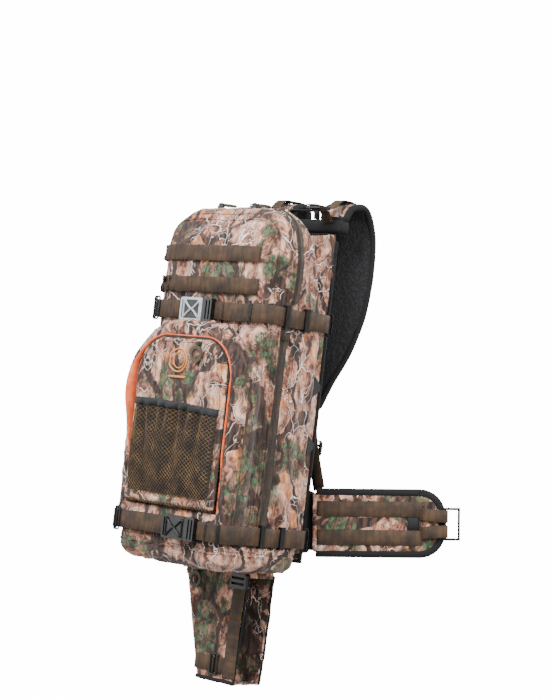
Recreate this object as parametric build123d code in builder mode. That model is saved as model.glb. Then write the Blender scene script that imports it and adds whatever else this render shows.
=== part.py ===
"""Hunting backpack with a rifle sleeve between bag and back panel, and a drop-down boot for the butt.

Frame, in millimetres: +Z up, +Y towards the wearer, -Y the way the bag faces, +X the wearer's right.
The origin is where a hook bears, under the top of the haul loop.
"""

from build123d import *
import math
import os

# ---- driving dimensions -------------------------------------------------------------------------
bag_width = 260.0
bag_depth = 149.0
bag_height = 527.0          # main compartment, from the base pocket up to the crown
crown_drop = 18.0           # crown of the bag below the origin
crown_radius = 62.0         # rounding of the crown, seen from the front
crown_flat = 38.0           # level stretch of the crown, front to back, that carries the zipper
crown_front_drop = 76.0     # height of the front's curve up to the crown
corner_radius = 30.0        # upright front corners
rear_radius = 24.0          # upright rear corners
mouth_depth = 190.0         # height of the sleeve's V-shaped mouth
mouth_spread = 60.0         # how far the bag leans away from the back panel at the crown
base_height = 46.0
base_overhang = 26.0        # base pocket in front of the bag

sleeve_gap = 46.0           # room for the rifle between the bag and the back panel
sleeve_half = 79.0          # outer face of the sleeve's side walls
wall = 3.0                  # stiffened fabric wall
seat = 0.3                  # air between pieces that are sewn or laid on each other
swing = 0.5                 # air beside a moving piece
fit = 0.1                   # radial clearance of a pin or bar in its hole

web = 1.6                   # webbing thickness
strap_width = 29.0
strap_stand = 2.6           # compression straps stand this far off the bag, for the keepers
row_width = 25.0            # load-row webbing
row_pitch = 50.8
row_top = -98.5             # centre of the upper load row
row_wrap = 34.0             # how far the rows run round the left corner
row_count = 2
row_inset = 20.0            # their right end, in from the bag's side

panel_half = 80.0
panel_half_top = 68.0
panel_thickness = 4.0
panel_drop = 575.0
sheet_thickness = 1.5
stay_width = 12.0
stay_thickness = 3.0
stay_spacing = 82.0
pad_thickness = 13.0
lumbar_thickness = 20.5
lumbar_height = 104.0
lumbar_top = -456.0
yoke_half = 92.0
yoke_height = 22.0
yoke_front = -8.0
yoke_back = 18.0
loop_half = 30.0
loop_thickness = 2.4
loop_width = 14.0
loop_rise = 14.0            # finger room under the haul loop
tab_heights = (-290.0, -385.0)
tab_length = 50.0

pocket_width = 252.0
pocket_top = -212.0
pocket_arch = 92.0          # rounding of the pocket's upper corners
pocket_lip = 14.0           # rounding of the pocket's front edge
gusset_depth = 30.0
lining_thickness = 2.7
lining_proud = 3.0
flap_half = 105.0
flap_top = -236.0
flap_bottom = -504.0
flap_arch = 62.0
flap_thickness = 8.0
mesh_half = 96.0
mesh_top = -337.0
mesh_bottom = -490.0
mesh_gap = 17.0             # room in the mesh pocket
mesh_thickness = 2.0
hem_height = 12.0
hem_thickness = 3.0

top_strap_z = -190.0
bottom_strap_z = -534.0
plug_left = 4.0             # joint between socket and plug on the upper buckle
plug_shift = 50.0           # the lower buckle sits further to the wearer's right

socket_length = 50.0
buckle_width = 37.0
buckle_height = 10.0
plug_length = 22.0
arm_length = 30.0
arm_width = 5.0
keeper_length = 9.0
keeper_bar = 3.0
keeper_places = (-148.0, -104.0)

side_zip_y = -146.0
side_zip_rise = 14.0        # slider's middle below the top of the tape
crown_tape_drop = 150.0     # ends of the crown zipper below the crown
crown_slider_right = 16.0
crown_slider_left = -62.0
front_slider_x = 38.0
boot_slider_x = -74.0
tape_width = 20.0
tape_thickness = 1.2
slider_length = 11.0
slider_width = 8.0
slider_height = 4.0
pin_radius = 1.0
eye_radius = 2.4
pull_ring = 11.0            # middle radius of a pull's ring
pull_drop = 17.0            # ring's middle below the pin
pull_bar = 2.5              # half the ring's width
pull_thickness = 2.8
eye_spread = 3.0            # middle of each of the slider's two eyes
eye_thickness = 2.0
knuckle = 3.2               # width of the pull's eye, between the slider's two

boot_gap = 9.0              # below the base pocket, bridged by soft fabric
boot_height = 181.0
boot_depth = 59.0
boot_left_top = -118.0
boot_left_foot = -62.0
boot_right_top = 42.0
boot_right_foot = 34.0
boot_strap_x = 26.0
boot_strap_width = 28.0
boot_web_z = -753.0
lock_height = 24.0
lock_thickness = 6.0
lock_rim = 4.0              # moulded rim beside a lock's slots
lock_bar_end = 3.5

hip_length = 206.0
hip_height = 100.0
hip_thickness = 14.0
hip_tip_radius = 36.0
hip_sweep = 45.0            # degrees back from straight sideways
hip_rise = 6.0              # degrees up towards the tip
hip_x = 92.0
hip_y = 12.0
hip_z = -507.0
hip_row_offset = 23.0
hip_root = 5.0              # how far a wing reaches behind its hinge line
row_start = 4.0
row_setback = 36.0          # the rows end this far before the tip
frame_height = 53.0
frame_reach = 22.0
frame_bar = 2.0             # radius

pad_width = 66.0
pad_slab = 12.0
shoulder_start = 1.5        # air between the shoulder pad and the yoke
steps_between = 3           # slices between two of the pad's given sections
shoulder_web_width = 25.0
web_kink = (54.0, -387.0)   # where the adjuster's ladder lock sits, as x and z
web_foot_x = 80.0
shoulder_lock_thickness = 5.0
lifter_x = 66.0
lifter_y = -36.0
lifter_width = 22.0
lifter_buckle_half = 13.0   # half its length, front to back
lifter_level = 3.2          # webs above and below the buckle's middle
lifter_rise = 20.5          # upper web over the shoulder pad, clear of it when the strap swings

# ---- places worked out from them ----------------------------------------------------------------
bag_half = bag_width / 2
panel_front = 0.0
panel_back = panel_front + panel_thickness
sheet_back = panel_back + sheet_thickness
pad_back = sheet_back + pad_thickness
lumbar_back = sheet_back + lumbar_thickness
bag_rear = panel_front - sleeve_gap
bag_front = bag_rear - bag_depth
crown_z = -crown_drop
bag_base = crown_z - bag_height
base_bottom = bag_base - base_height
mouth_y = bag_rear - mouth_spread
mouth_z = crown_z - 6.0
crown_rear = mouth_y - 6.0
crown_front = crown_rear - crown_flat
slope_foot = crown_z - mouth_depth
yoke_top = -loop_rise
yoke_bottom = yoke_top - yoke_height
strap_line = strap_stand + web / 2
pocket_bottom = bag_base    # the pocket ends on the base pocket
pocket_front = bag_front - seat - gusset_depth
pocket_half = pocket_width / 2
flap_back = pocket_front - swing
flap_front = flap_back - flap_thickness
mesh_front = flap_front - seat - mesh_gap - mesh_thickness
side_line = bag_half + strap_line
top_line = bag_front - strap_line
bottom_line = pocket_front - strap_line
boot_top = base_bottom - boot_gap
boot_foot = boot_top - boot_height
boot_rear = panel_front - 14.0
boot_front = boot_rear - boot_depth

os.makedirs("parts", exist_ok=True)


def write(part, name):
    """Labels a finished piece and writes it as a node of its own."""
    part.label = name
    export_step(part, f"parts/{name}.step")


def mirrored(part):
    """The same piece on the wearer's left."""
    with BuildPart() as other:
        add(mirror(part, about=Plane.YZ, mode=Mode.PRIVATE))
    return other.part


def write_pair(part, name):
    """A piece on the wearer's right and its mirror image on the left."""
    write(part, f"{name}_right")
    write(mirrored(part), f"{name}_left")


def both_sides(part):
    """Two mirrored pieces that share a node."""
    with BuildPart() as pair:
        add(part)
        add(mirror(part, about=Plane.YZ, mode=Mode.PRIVATE))
    return pair.part


def block(x, y, z):
    """A box between three pairs of coordinates."""
    with BuildPart() as piece:
        with BuildSketch(Plane.XY.offset(z[0])):
            with Locations(((x[0] + x[1]) / 2, (y[0] + y[1]) / 2)):
                Rectangle(x[1] - x[0], y[1] - y[0])
        extrude(amount=z[1] - z[0])
    return piece.part


def band(points, radius, plane, width, thickness=web):
    """Webbing: a line with rounded corners in a plane, made as thick as webbing and as wide as given."""
    with BuildPart() as piece:
        with BuildSketch(plane):
            with BuildLine():
                FilletPolyline(*points, radius=radius)
            trace(line_width=thickness)
        extrude(amount=width)
    return piece.part


def arch(half, top, bottom, radius):
    """Front view of the bag, its pocket or its flap: square below, with two rounded upper corners."""
    with BuildSketch(mode=Mode.PRIVATE) as sketch:
        with BuildLine():
            FilletPolyline((-half, bottom), (-half, top), (half, top), (half, bottom), radius=radius)
            Line((half, bottom), (-half, bottom))
        make_face()
    return sketch.sketch


def arch_slab(half, top, bottom, radius, rear, front):
    """An arch standing across the pack, from a rear to a front plane."""
    with BuildPart() as piece:
        with BuildSketch(Plane.XZ.offset(-rear)):
            add(arch(half, top, bottom, radius))
        extrude(amount=rear - front)
    return piece.part


# ---- the bag and its base pocket ----------------------------------------------------------------
with BuildPart() as main_compartment:
    with BuildSketch(Plane.YZ.offset(-bag_half)):
        with BuildLine():
            Polyline(
                (mouth_y, mouth_z),
                (bag_rear, slope_foot),
                (bag_rear, bag_base),
                (bag_front, bag_base),
                (bag_front, crown_z - crown_front_drop),
            )
            Spline(
                (bag_front, crown_z - crown_front_drop),
                (bag_front + 16, crown_z - 24),
                (crown_front, crown_z),
                tangents=[(0, 1), (1, 0)],
            )
            Polyline((crown_front, crown_z), (crown_rear, crown_z), (mouth_y, mouth_z))
        make_face()
    extrude(amount=bag_width)
    add(
        arch_slab(bag_half, crown_z, bag_base, crown_radius, bag_rear, bag_front - 1),
        mode=Mode.INTERSECT,
    )
    fillet(edges().filter_by(Axis.Z).group_by(Axis.Y)[0], corner_radius)
    fillet(edges().filter_by(Axis.Z).group_by(Axis.Y)[-1], rear_radius)
write(main_compartment.part, "main_compartment")

with BuildPart() as base_pocket:
    with BuildSketch(Plane.XY.offset(base_bottom)):
        with Locations((0, (bag_rear + bag_front - base_overhang) / 2)):
            RectangleRounded(bag_width - 4, bag_depth + base_overhang, rear_radius)
    extrude(amount=base_height - seat)
    fillet(faces().sort_by(Axis.Z)[0].edges(), 18)
    fillet(faces().sort_by(Axis.Z)[-1].edges(), 5)
write(base_pocket.part, "base_pocket")

# ---- load rows on the upper front -----------------------------------------------------------------
row_line = bag_front - seat - web / 2
row_side = -bag_half - seat - web / 2
with BuildPart() as load_rows:
    for row in range(row_count):
        add(
            band(
                [(bag_half - row_inset, row_line), (row_side, row_line), (row_side, bag_front + row_wrap)],
                corner_radius + seat,
                Plane.XY.offset(row_top - row * row_pitch - row_width / 2),
                row_width,
            )
        )
write(load_rows.part, "load_rows")

# ---- rifle sleeve and harness -------------------------------------------------------------------
with BuildPart() as sleeve_wall:
    with BuildSketch(Plane.YZ.offset(sleeve_half - wall)):
        with BuildLine():
            Polyline(
                (panel_front - seat, yoke_bottom - 2),
                (panel_front - seat, bag_base - 15),
                (bag_rear + seat, bag_base - 15),
                (bag_rear + seat, slope_foot),
                (mouth_y + 10 + seat, mouth_z - 30),
                (bag_rear + 6, mouth_z - 22),
                close=True,
            )
        make_face()
    extrude(amount=wall)
write_pair(sleeve_wall.part, "sleeve_wall")

with BuildPart() as harness_panel:
    with BuildSketch(Plane.XZ.offset(-panel_back)):
        with BuildLine():
            Polyline(
                (-panel_half, -panel_drop),
                (-panel_half, yoke_bottom - 54),
                (-panel_half_top, yoke_bottom),
                (panel_half_top, yoke_bottom),
                (panel_half, yoke_bottom - 54),
                (panel_half, -panel_drop),
                close=True,
            )
        make_face()
    extrude(amount=panel_thickness)
    fillet(edges().filter_by(Axis.Y).group_by(Axis.Z)[0], 16)
write(harness_panel.part, "harness_panel")

sheet_half = panel_half_top - 4
write(
    block((-sheet_half, sheet_half), (panel_back, sheet_back), (-panel_drop + 7, yoke_bottom - 6)),
    "frame_sheet",
)

stay_half = stay_width / 2
stay_x = stay_spacing / 2
stay = block(
    (stay_x - stay_half, stay_x + stay_half),
    (sheet_back, sheet_back + stay_thickness),
    (-panel_drop + 35, yoke_bottom - 14),
)
write(both_sides(stay), "stays")

groove = block(
    (stay_x - stay_half - seat, stay_x + stay_half + seat),
    (sheet_back - 1, sheet_back + stay_thickness + seat),
    (-panel_drop, 0),
)
with BuildPart() as back_pad:
    add(block((9, 74), (sheet_back, pad_back), (lumbar_top + 14, yoke_bottom - 8)))
    fillet(faces().sort_by(Axis.Y)[-1].edges(), 7)
    add(groove, mode=Mode.SUBTRACT)
write(both_sides(back_pad.part), "back_pads")

with BuildPart() as lumbar_pad:
    lumbar_base = lumbar_top - lumbar_height
    add(block((-panel_half, panel_half), (sheet_back, lumbar_back), (lumbar_base, lumbar_top)))
    fillet(faces().sort_by(Axis.Y)[-1].edges(), 7)
    add(both_sides(groove), mode=Mode.SUBTRACT)
write(lumbar_pad.part, "lumbar_pad")

with BuildPart() as yoke:
    add(block((-yoke_half, yoke_half), (yoke_front, yoke_back), (yoke_bottom, yoke_top)))
    fillet(edges().filter_by(Axis.Y), 5)
write(yoke.part, "yoke")

loop_top = loop_thickness / 2
haul_loop = band(
    [(-loop_half, yoke_top), (-loop_half, loop_top), (loop_half, loop_top), (loop_half, yoke_top)],
    10,
    Plane.XZ.offset(-loop_width / 2),
    loop_width,
    loop_thickness,
)
write(haul_loop, "haul_loop")

with BuildPart() as side_tab:
    for height in tab_heights:
        with BuildSketch(
            Plane(origin=(panel_half + 1, panel_front - 1, height), x_dir=(26, -42, 0), z_dir=(42, 26, 0))
        ):
            with BuildLine():
                Polyline((0, 5), (0, -5), (tab_length, -17), (tab_length, 17), close=True)
            make_face()
        extrude(amount=web)
write(both_sides(side_tab.part), "side_tabs")

# ---- front pocket -------------------------------------------------------------------------------
with BuildPart() as front_pocket_gusset:
    add(arch_slab(pocket_half, pocket_top, pocket_bottom, pocket_arch, bag_front - seat, pocket_front))
    fillet(faces().sort_by(Axis.Y)[0].edges(), pocket_lip)
    offset(amount=-wall, openings=faces().sort_by(Axis.Y)[-1])
    add(
        arch_slab(
            flap_half + lining_thickness + 2 * seat,
            flap_top + lining_thickness + 2 * seat,
            flap_bottom - 2,
            flap_arch + lining_thickness,
            pocket_front + wall + 2,
            pocket_front - 2,
        ),
        mode=Mode.SUBTRACT,
    )
write(front_pocket_gusset.part, "front_pocket_gusset")

lining_front = pocket_front - lining_proud
lining_rear = bag_front - 4
with BuildPart() as front_pocket_lining:
    add(
        arch_slab(
            flap_half + seat + lining_thickness,
            flap_top + seat + lining_thickness,
            flap_bottom + 3,
            flap_arch + lining_thickness,
            lining_rear,
            lining_front,
        )
    )
    add(
        arch_slab(
            flap_half + seat, flap_top + seat, flap_bottom - 9, flap_arch, lining_rear + 1, lining_front - 1
        ),
        mode=Mode.SUBTRACT,
    )
write(front_pocket_lining.part, "front_pocket_lining")

with BuildPart() as flap_panel:
    add(arch_slab(flap_half - seat, flap_top - seat, flap_bottom, flap_arch, flap_back, flap_front))
    fillet(faces().sort_by(Axis.Y)[0].edges(), 5)
write(flap_panel.part, "flap_panel")


def mesh_profile(inset, back, top):
    """Side view of the mesh pocket, or of its inside."""
    with BuildSketch(mode=Mode.PRIVATE) as sketch:
        with BuildLine():
            Polyline(
                (back, top),
                (back, mesh_bottom + 2 * inset),
                (mesh_front + 4 + inset, mesh_bottom + 38 + inset / 2),
                (mesh_front + inset, mesh_bottom + 72),
                (mesh_front + inset, top),
                close=True,
            )
        make_face()
    return sketch.sketch


mesh_rim = mesh_top - hem_height
with BuildPart() as mesh_pocket:
    with BuildSketch(Plane.YZ.offset(-mesh_half)):
        add(mesh_profile(0, flap_front - seat, mesh_rim))
    extrude(amount=2 * mesh_half)
    with BuildSketch(Plane.YZ.offset(-mesh_half + mesh_thickness)):
        add(mesh_profile(mesh_thickness, flap_front + 1, mesh_rim + 1))
    extrude(amount=2 * (mesh_half - mesh_thickness), mode=Mode.SUBTRACT)
write(mesh_pocket.part, "mesh_pocket")

write(
    block((-mesh_half, mesh_half), (mesh_front, mesh_front + hem_thickness), (mesh_rim, mesh_top)),
    "mesh_hem",
)

# ---- compression straps -------------------------------------------------------------------------
def compression_strap(front_line, start, height, corner):
    """One half of a strap: along the front, round the side and back to the edge of the harness panel."""
    return band(
        [
            (start, front_line),
            (side_line, front_line),
            (side_line, bag_rear - 4),
            (panel_half + 3, panel_front - 2),
        ],
        [corner, 14],
        Plane.XY.offset(height - strap_width / 2),
        strap_width,
    )


upper_corner = corner_radius + strap_line
lower_corner = pocket_lip + strap_line
write(compression_strap(top_line, plug_left + 3, top_strap_z, upper_corner), "top_strap_right")
write(
    mirrored(compression_strap(top_line, socket_length - plug_left - 4, top_strap_z, upper_corner)),
    "top_strap_left",
)
write(
    compression_strap(bottom_line, plug_left + plug_shift + 3, bottom_strap_z, lower_corner),
    "bottom_strap_right",
)
write(
    mirrored(
        compression_strap(
            bottom_line, socket_length - plug_left - plug_shift - 4, bottom_strap_z, lower_corner
        )
    ),
    "bottom_strap_left",
)


def buckle(face, joint_x, height):
    """Side-release buckle lying on a strap: a socket, a plug and the plug's two sprung arms."""
    rear = face - seat
    front = rear - buckle_height
    half = buckle_width / 2
    skin = 1.8
    bar_end = 3.5
    back = joint_x - socket_length
    bay = back + 14
    with BuildPart() as socket:
        add(block((back, joint_x), (front, rear), (height - half, height + half)))
        fillet(edges().filter_by(Axis.Y), 4)
        add(
            block(
                (bay, joint_x + 1),
                (front + skin, rear - skin),
                (height - half - 1, height + half + 1),
            ),
            mode=Mode.SUBTRACT,
        )
        add(block((bay, joint_x - 8), (front + skin, rear - skin), (height - 4, height + 4)))
        add(
            block(
                (back + bar_end, back + bar_end + 3),
                (front - 1, rear + 1),
                (height - half + 4, height + half - 4),
            ),
            mode=Mode.SUBTRACT,
        )
    with BuildPart() as plug:
        add(
            block((joint_x + seat, joint_x + plug_length), (front, rear), (height - half, height + half))
        )
        fillet(edges().filter_by(Axis.Y), 3)
        for slot in (8.5, 15.5):
            add(
                block(
                    (joint_x + slot, joint_x + slot + 3),
                    (front - 1, rear + 1),
                    (height - half + bar_end, height + half - bar_end),
                ),
                mode=Mode.SUBTRACT,
            )
    arms = []
    for side in (1, -1):
        outer = height + side * (half - 1.2)
        inner = outer - side * arm_width
        with BuildPart() as arm:
            with BuildSketch(Plane.XZ.offset(-(rear - skin - swing))):
                with BuildLine():
                    Polyline(
                        (joint_x - swing, inner),
                        (joint_x - arm_length, inner),
                        (joint_x - arm_length, outer - side * 1.5),
                        (joint_x - arm_length + 9, outer),
                        (joint_x - swing, outer),
                        close=True,
                    )
                make_face()
            extrude(amount=buckle_height - 2 * skin - 2 * swing)
        arms.append(arm.part)
    return socket.part, plug.part, arms[0], arms[1]


for name, face, joint_x, height in (
    ("top", top_line - web / 2, plug_left, top_strap_z),
    ("bottom", bottom_line - web / 2, plug_left + plug_shift, bottom_strap_z),
):
    socket, plug, upper_arm, lower_arm = buckle(face, joint_x, height)
    write(socket, f"{name}_buckle_socket")
    write(plug, f"{name}_buckle_plug")
    write(upper_arm, f"{name}_buckle_arm_upper")
    write(lower_arm, f"{name}_buckle_arm_lower")


def keeper(middle, height):
    """A flat ring round a side strap; its middle stands on the strap at the given y."""
    gap = web / 2 + swing
    reach = strap_width / 2 + swing
    outer_in = strap_line - seat
    with BuildPart() as ring:
        add(
            block(
                (side_line - outer_in, side_line + gap + keeper_bar),
                (middle - keeper_length / 2, middle + keeper_length / 2),
                (height - reach - keeper_bar, height + reach + keeper_bar),
            )
        )
        add(
            block(
                (side_line - gap, side_line + gap),
                (middle - keeper_length, middle + keeper_length),
                (height - reach, height + reach),
            ),
            mode=Mode.SUBTRACT,
        )
    return ring.part


with BuildPart() as strap_keepers:
    for height in (top_strap_z, bottom_strap_z):
        for keeper_place in keeper_places:
            ring = keeper(keeper_place, height)
            add(ring)
            add(mirror(ring, about=Plane.YZ, mode=Mode.PRIVATE))
write(strap_keepers.part, "strap_keepers")

# ---- zippers, sliders and pulls -----------------------------------------------------------------
keeper_reach = strap_width / 2 + swing + keeper_bar
side_zip_top = top_strap_z - keeper_reach - 1
side_zip_bottom = bottom_strap_z + keeper_reach + 1
side_tape = block(
    (bag_half, bag_half + tape_thickness),
    (side_zip_y - tape_width / 2, side_zip_y + tape_width / 2),
    (side_zip_bottom, side_zip_top),
)

crown_zip_y = (crown_front + crown_rear) / 2
crown_line = seat + tape_thickness / 2
crown_tape = band(
    [
        (-bag_half - crown_line, crown_z - crown_tape_drop),
        (-bag_half - crown_line, crown_z + crown_line),
        (bag_half + crown_line, crown_z + crown_line),
        (bag_half + crown_line, crown_z - crown_tape_drop),
    ],
    crown_radius + crown_line,
    Plane.XZ.offset(-crown_zip_y - tape_width / 2),
    tape_width,
    tape_thickness,
)
with BuildPart() as zip_tapes:
    add(both_sides(side_tape))
    add(crown_tape)
write(zip_tapes.part, "zip_tapes")

pin_height = slider_height + eye_radius + seat

with BuildPart() as slider:
    with BuildSketch():
        RectangleRounded(slider_length, slider_width, 2)
    extrude(amount=slider_height)
    for side in (1, -1):
        with BuildSketch(Plane.YZ.offset(side * eye_spread - eye_thickness / 2)):
            with Locations((0, (slider_height + pin_height) / 2)):
                Rectangle(2 * eye_radius, pin_height - slider_height + eye_radius)
        extrude(amount=eye_thickness)
    with BuildSketch(Plane.YZ.offset(-eye_spread)):
        with Locations((0, pin_height)):
            Circle(pin_radius)
    extrude(amount=2 * eye_spread)

with BuildPart() as pull:
    with BuildSketch(Plane.XY.offset(pin_height - pull_thickness / 2)):
        with Locations((0, -pull_drop)):
            Circle(pull_ring + pull_bar)
        with Locations((0, -pull_drop + pull_ring)):
            Rectangle(knuckle, 9)
        with Locations((0, -pull_drop)):
            Circle(pull_ring - pull_bar, mode=Mode.SUBTRACT)
    extrude(amount=pull_thickness)
    with BuildSketch(Plane.YZ.offset(-knuckle / 2)):
        with Locations((0, pin_height)):
            Circle(eye_radius)
    extrude(amount=knuckle)
    with BuildSketch(Plane.YZ.offset(-knuckle / 2 - fit)):
        with Locations((0, pin_height)):
            Circle(pin_radius + fit)
    extrude(amount=knuckle + 2 * fit, mode=Mode.SUBTRACT)


def set_on(part, origin, along, out):
    """A slider or pull set on a tape: its length along the tape and its height away from it."""
    with BuildPart() as placed:
        with Locations(Plane(origin=origin, x_dir=along, z_dir=out).location):
            add(part)
    return placed.part


front_zip = ((front_slider_x, flap_front - swing, flap_top - 10), (1, 0, 0), (0, -1, 0))
write(set_on(slider.part, *front_zip), "front_zip_slider")
write(set_on(pull.part, *front_zip), "front_zip_pull")

side_slider_z = side_zip_top - side_zip_rise
side_zip = ((bag_half + tape_thickness + swing, side_zip_y, side_slider_z), (0, 1, 0), (1, 0, 0))
write_pair(set_on(slider.part, *side_zip), "side_zip_slider")

for name, x in (("right", crown_slider_right), ("left", crown_slider_left)):
    crown_zip = ((x, crown_zip_y, crown_z + seat + tape_thickness + swing), (-1, 0, 0), (0, 0, 1))
    write(set_on(slider.part, *crown_zip), f"crown_zip_slider_{name}")
    write(set_on(pull.part, *crown_zip), f"crown_zip_pull_{name}")

# ---- boot for the rifle's butt ------------------------------------------------------------------
boot_outline = (
    (boot_left_top, boot_top),
    (boot_right_top, boot_top),
    (boot_right_foot, boot_foot),
    (boot_left_foot, boot_foot),
)
with BuildPart() as boot_shell:
    with BuildSketch(Plane.XZ.offset(-boot_rear)):
        with BuildLine():
            Polyline(*boot_outline, close=True)
        make_face()
    extrude(amount=boot_depth)
    fillet(faces().sort_by(Axis.X)[0].edges().filter_by(Axis.Y, reverse=True), 16)
    with BuildSketch(Plane.XZ.offset(-boot_rear + wall)):
        with BuildLine():
            Polyline(
                (boot_left_top + wall, boot_top + 1),
                (boot_right_top + 20, boot_top + 1),
                (boot_right_foot + 20, boot_foot + wall),
                (boot_left_foot + wall, boot_foot + wall),
                close=True,
            )
        make_face()
    extrude(amount=boot_depth - 2 * wall, mode=Mode.SUBTRACT)
write(boot_shell.part, "boot_shell")

boot_strap = block(
    (boot_strap_x - boot_strap_width / 2, boot_strap_x + boot_strap_width / 2),
    (boot_front - seat - web, boot_front - seat),
    (boot_foot + 10, boot_top - 8),
)
write(boot_strap, "boot_strap")

with BuildPart() as boot_lock:
    lock_rear = boot_front - 2 * seat - web
    lock_half = boot_strap_width / 2 + lock_rim
    lock_top = boot_top - 2
    add(
        block(
            (boot_strap_x - lock_half, boot_strap_x + lock_half),
            (lock_rear - lock_thickness, lock_rear),
            (lock_top - lock_height, lock_top),
        )
    )
    fillet(edges().filter_by(Axis.Y), 3)
    for slot in (9.0, 18.0):
        add(
            block(
                (boot_strap_x - lock_half + lock_bar_end, boot_strap_x + lock_half - lock_bar_end),
                (lock_rear - lock_thickness - 1, lock_rear + 1),
                (lock_top - slot, lock_top + 4 - slot),
            ),
            mode=Mode.SUBTRACT,
        )
write(boot_lock.part, "boot_lock")

boot_web = block(
    (boot_left_foot + 6, boot_strap_x - boot_strap_width / 2 - seat),
    (boot_front - seat - web, boot_front - seat),
    (boot_web_z - row_width / 2, boot_web_z + row_width / 2),
)
write(boot_web, "boot_web")

boot_zip = ((boot_slider_x, boot_front - seat, boot_top - 6), (1, 0, 0), (0, -1, 0))
write(set_on(slider.part, *boot_zip), "boot_zip_slider")
write(set_on(pull.part, *boot_zip), "boot_zip_pull")

# ---- hip belt -----------------------------------------------------------------------------------
sweep_angle = math.radians(hip_sweep)
rise_angle = math.radians(hip_rise)
hip_along = (
    math.cos(sweep_angle) * math.cos(rise_angle),
    math.sin(sweep_angle) * math.cos(rise_angle),
    math.sin(rise_angle),
)
hip_out = (math.sin(sweep_angle), -math.cos(sweep_angle), 0)
hip_plane = Plane(origin=(hip_x, hip_y, hip_z), x_dir=hip_along, z_dir=hip_out)
hip_face = hip_thickness / 2
loop_radius = frame_bar + fit + web
loop_reach = hip_length + loop_radius + 1
row_reach = hip_length - row_setback

with BuildPart() as hip_wing:
    with BuildSketch(hip_plane.offset(-hip_face)):
        with BuildLine():
            hip_half = hip_height / 2
            tip = hip_tip_radius
            Line((-hip_root, -hip_half), (hip_length - tip, -hip_half))
            CenterArc((hip_length - tip, -hip_half + tip), tip, -90, 90)
            Line((hip_length, -hip_half + tip), (hip_length, hip_half - tip))
            CenterArc((hip_length - tip, hip_half - tip), tip, 0, 90)
            Line((hip_length - tip, hip_half), (-hip_root, hip_half))
            Line((-hip_root, hip_half), (-hip_root, -hip_half))
        make_face()
    extrude(amount=hip_thickness)
    fillet(edges().filter_by(GeomType.CIRCLE), 4)
write_pair(hip_wing.part, "hip_wing")

loop_middle = hip_face + loop_radius
bar_plane = Plane(hip_plane.location * Location((loop_reach, 0, loop_middle), (-90, 0, 0)))
tip_loop_half = frame_height / 2 - 2 * frame_bar - swing - 2
with BuildPart() as hip_webbing:
    for side in (1, -1):
        with BuildSketch(hip_plane.offset(hip_face)):
            with Locations(((row_start + row_reach) / 2, side * hip_row_offset)):
                Rectangle(row_reach - row_start, row_width)
        extrude(amount=web)
    with BuildSketch(hip_plane.offset(hip_face)):
        with Locations(((row_reach + 2 + loop_reach) / 2, 0)):
            Rectangle(loop_reach - row_reach - 2, 2 * tip_loop_half)
    extrude(amount=web)
    with BuildSketch(bar_plane.offset(-tip_loop_half)):
        Circle(loop_radius)
    extrude(amount=2 * tip_loop_half)
    with BuildSketch(bar_plane.offset(-tip_loop_half - 1)):
        Circle(frame_bar + fit)
    extrude(amount=2 * tip_loop_half + 2, mode=Mode.SUBTRACT)
write_pair(hip_webbing.part, "hip_webbing")

frame_half_height = frame_height / 2
with BuildPart() as tip_frame:
    with BuildSketch(bar_plane.offset(-frame_half_height + frame_bar)):
        with Locations((0, 0), (frame_reach, 0)):
            Circle(frame_bar)
    extrude(amount=frame_height - 2 * frame_bar)
    for side in (1, -1):
        with BuildSketch(hip_plane.offset(loop_middle - frame_bar)):
            with Locations((loop_reach + frame_reach / 2, side * (frame_half_height - frame_bar))):
                Rectangle(frame_reach + 2 * frame_bar, 2 * frame_bar)
        extrude(amount=2 * frame_bar)
write_pair(tip_frame.part, "tip_frame")

# ---- shoulder straps ----------------------------------------------------------------------------
# middle of the pad, turn of its width about Z in degrees, width
shoulder_sections = (
    ((62, 8, yoke_top + shoulder_start), 0, 52),
    ((62, 20, 8), 4, 54),
    ((61, 46, 8), 14, 60),
    ((61, 61, -36), 30, pad_width),
    ((62, 62, -100), 42, pad_width + 2),
    ((60, 58, -160), 42, pad_width),
    ((55, 47, -220), 30, 58),
    ((46, 36, -272), 12, 46),
    ((38, 31, -318), 0, 32),
)
shoulder_line = Spline(
    *[section[0] for section in shoulder_sections],
    tangents=[(0, 0, 1), (0, 0, -1)],
    tangent_scalars=[0.4, 0.4],
)
stations = [shoulder_line.param_at_point(section[0]) for section in shoulder_sections]
with BuildPart() as shoulder_pad:
    for index in range((len(stations) - 1) * steps_between + 1):
        first = min(index // steps_between, len(stations) - 2)
        share = index / steps_between - first
        at = stations[first] + share * (stations[first + 1] - stations[first])
        turn, width = (
            (1 - share) * shoulder_sections[first][item] + share * shoulder_sections[first + 1][item]
            for item in (1, 2)
        )
        across = (math.cos(math.radians(turn)), math.sin(math.radians(turn)), 0)
        with BuildSketch(Plane(origin=shoulder_line @ at, x_dir=across, z_dir=shoulder_line % at)):
            RectangleRounded(width, pad_slab, 4)
    loft(ruled=True)
write_pair(shoulder_pad.part, "shoulder_pad")

web_rear = shoulder_sections[-1][0][1] - pad_slab / 2 + web + swing
web_half = shoulder_web_width / 2
strap_end_x, strap_end_z = (shoulder_sections[-1][0][item] for item in (0, 2))
foot_half = web_half + 2
with BuildPart() as shoulder_web:
    with BuildSketch(Plane.XZ.offset(-web_rear)):
        with BuildLine():
            Polyline(
                (strap_end_x - web_half, strap_end_z - seat),
                (strap_end_x + web_half, strap_end_z - seat),
                (web_kink[0] + web_half, web_kink[1]),
                (web_foot_x + foot_half, lumbar_top + 3),
                (web_foot_x - foot_half, lumbar_top + 3),
                (web_kink[0] - web_half, web_kink[1]),
                close=True,
            )
        make_face()
    extrude(amount=web)
write_pair(shoulder_web.part, "shoulder_web")

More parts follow.
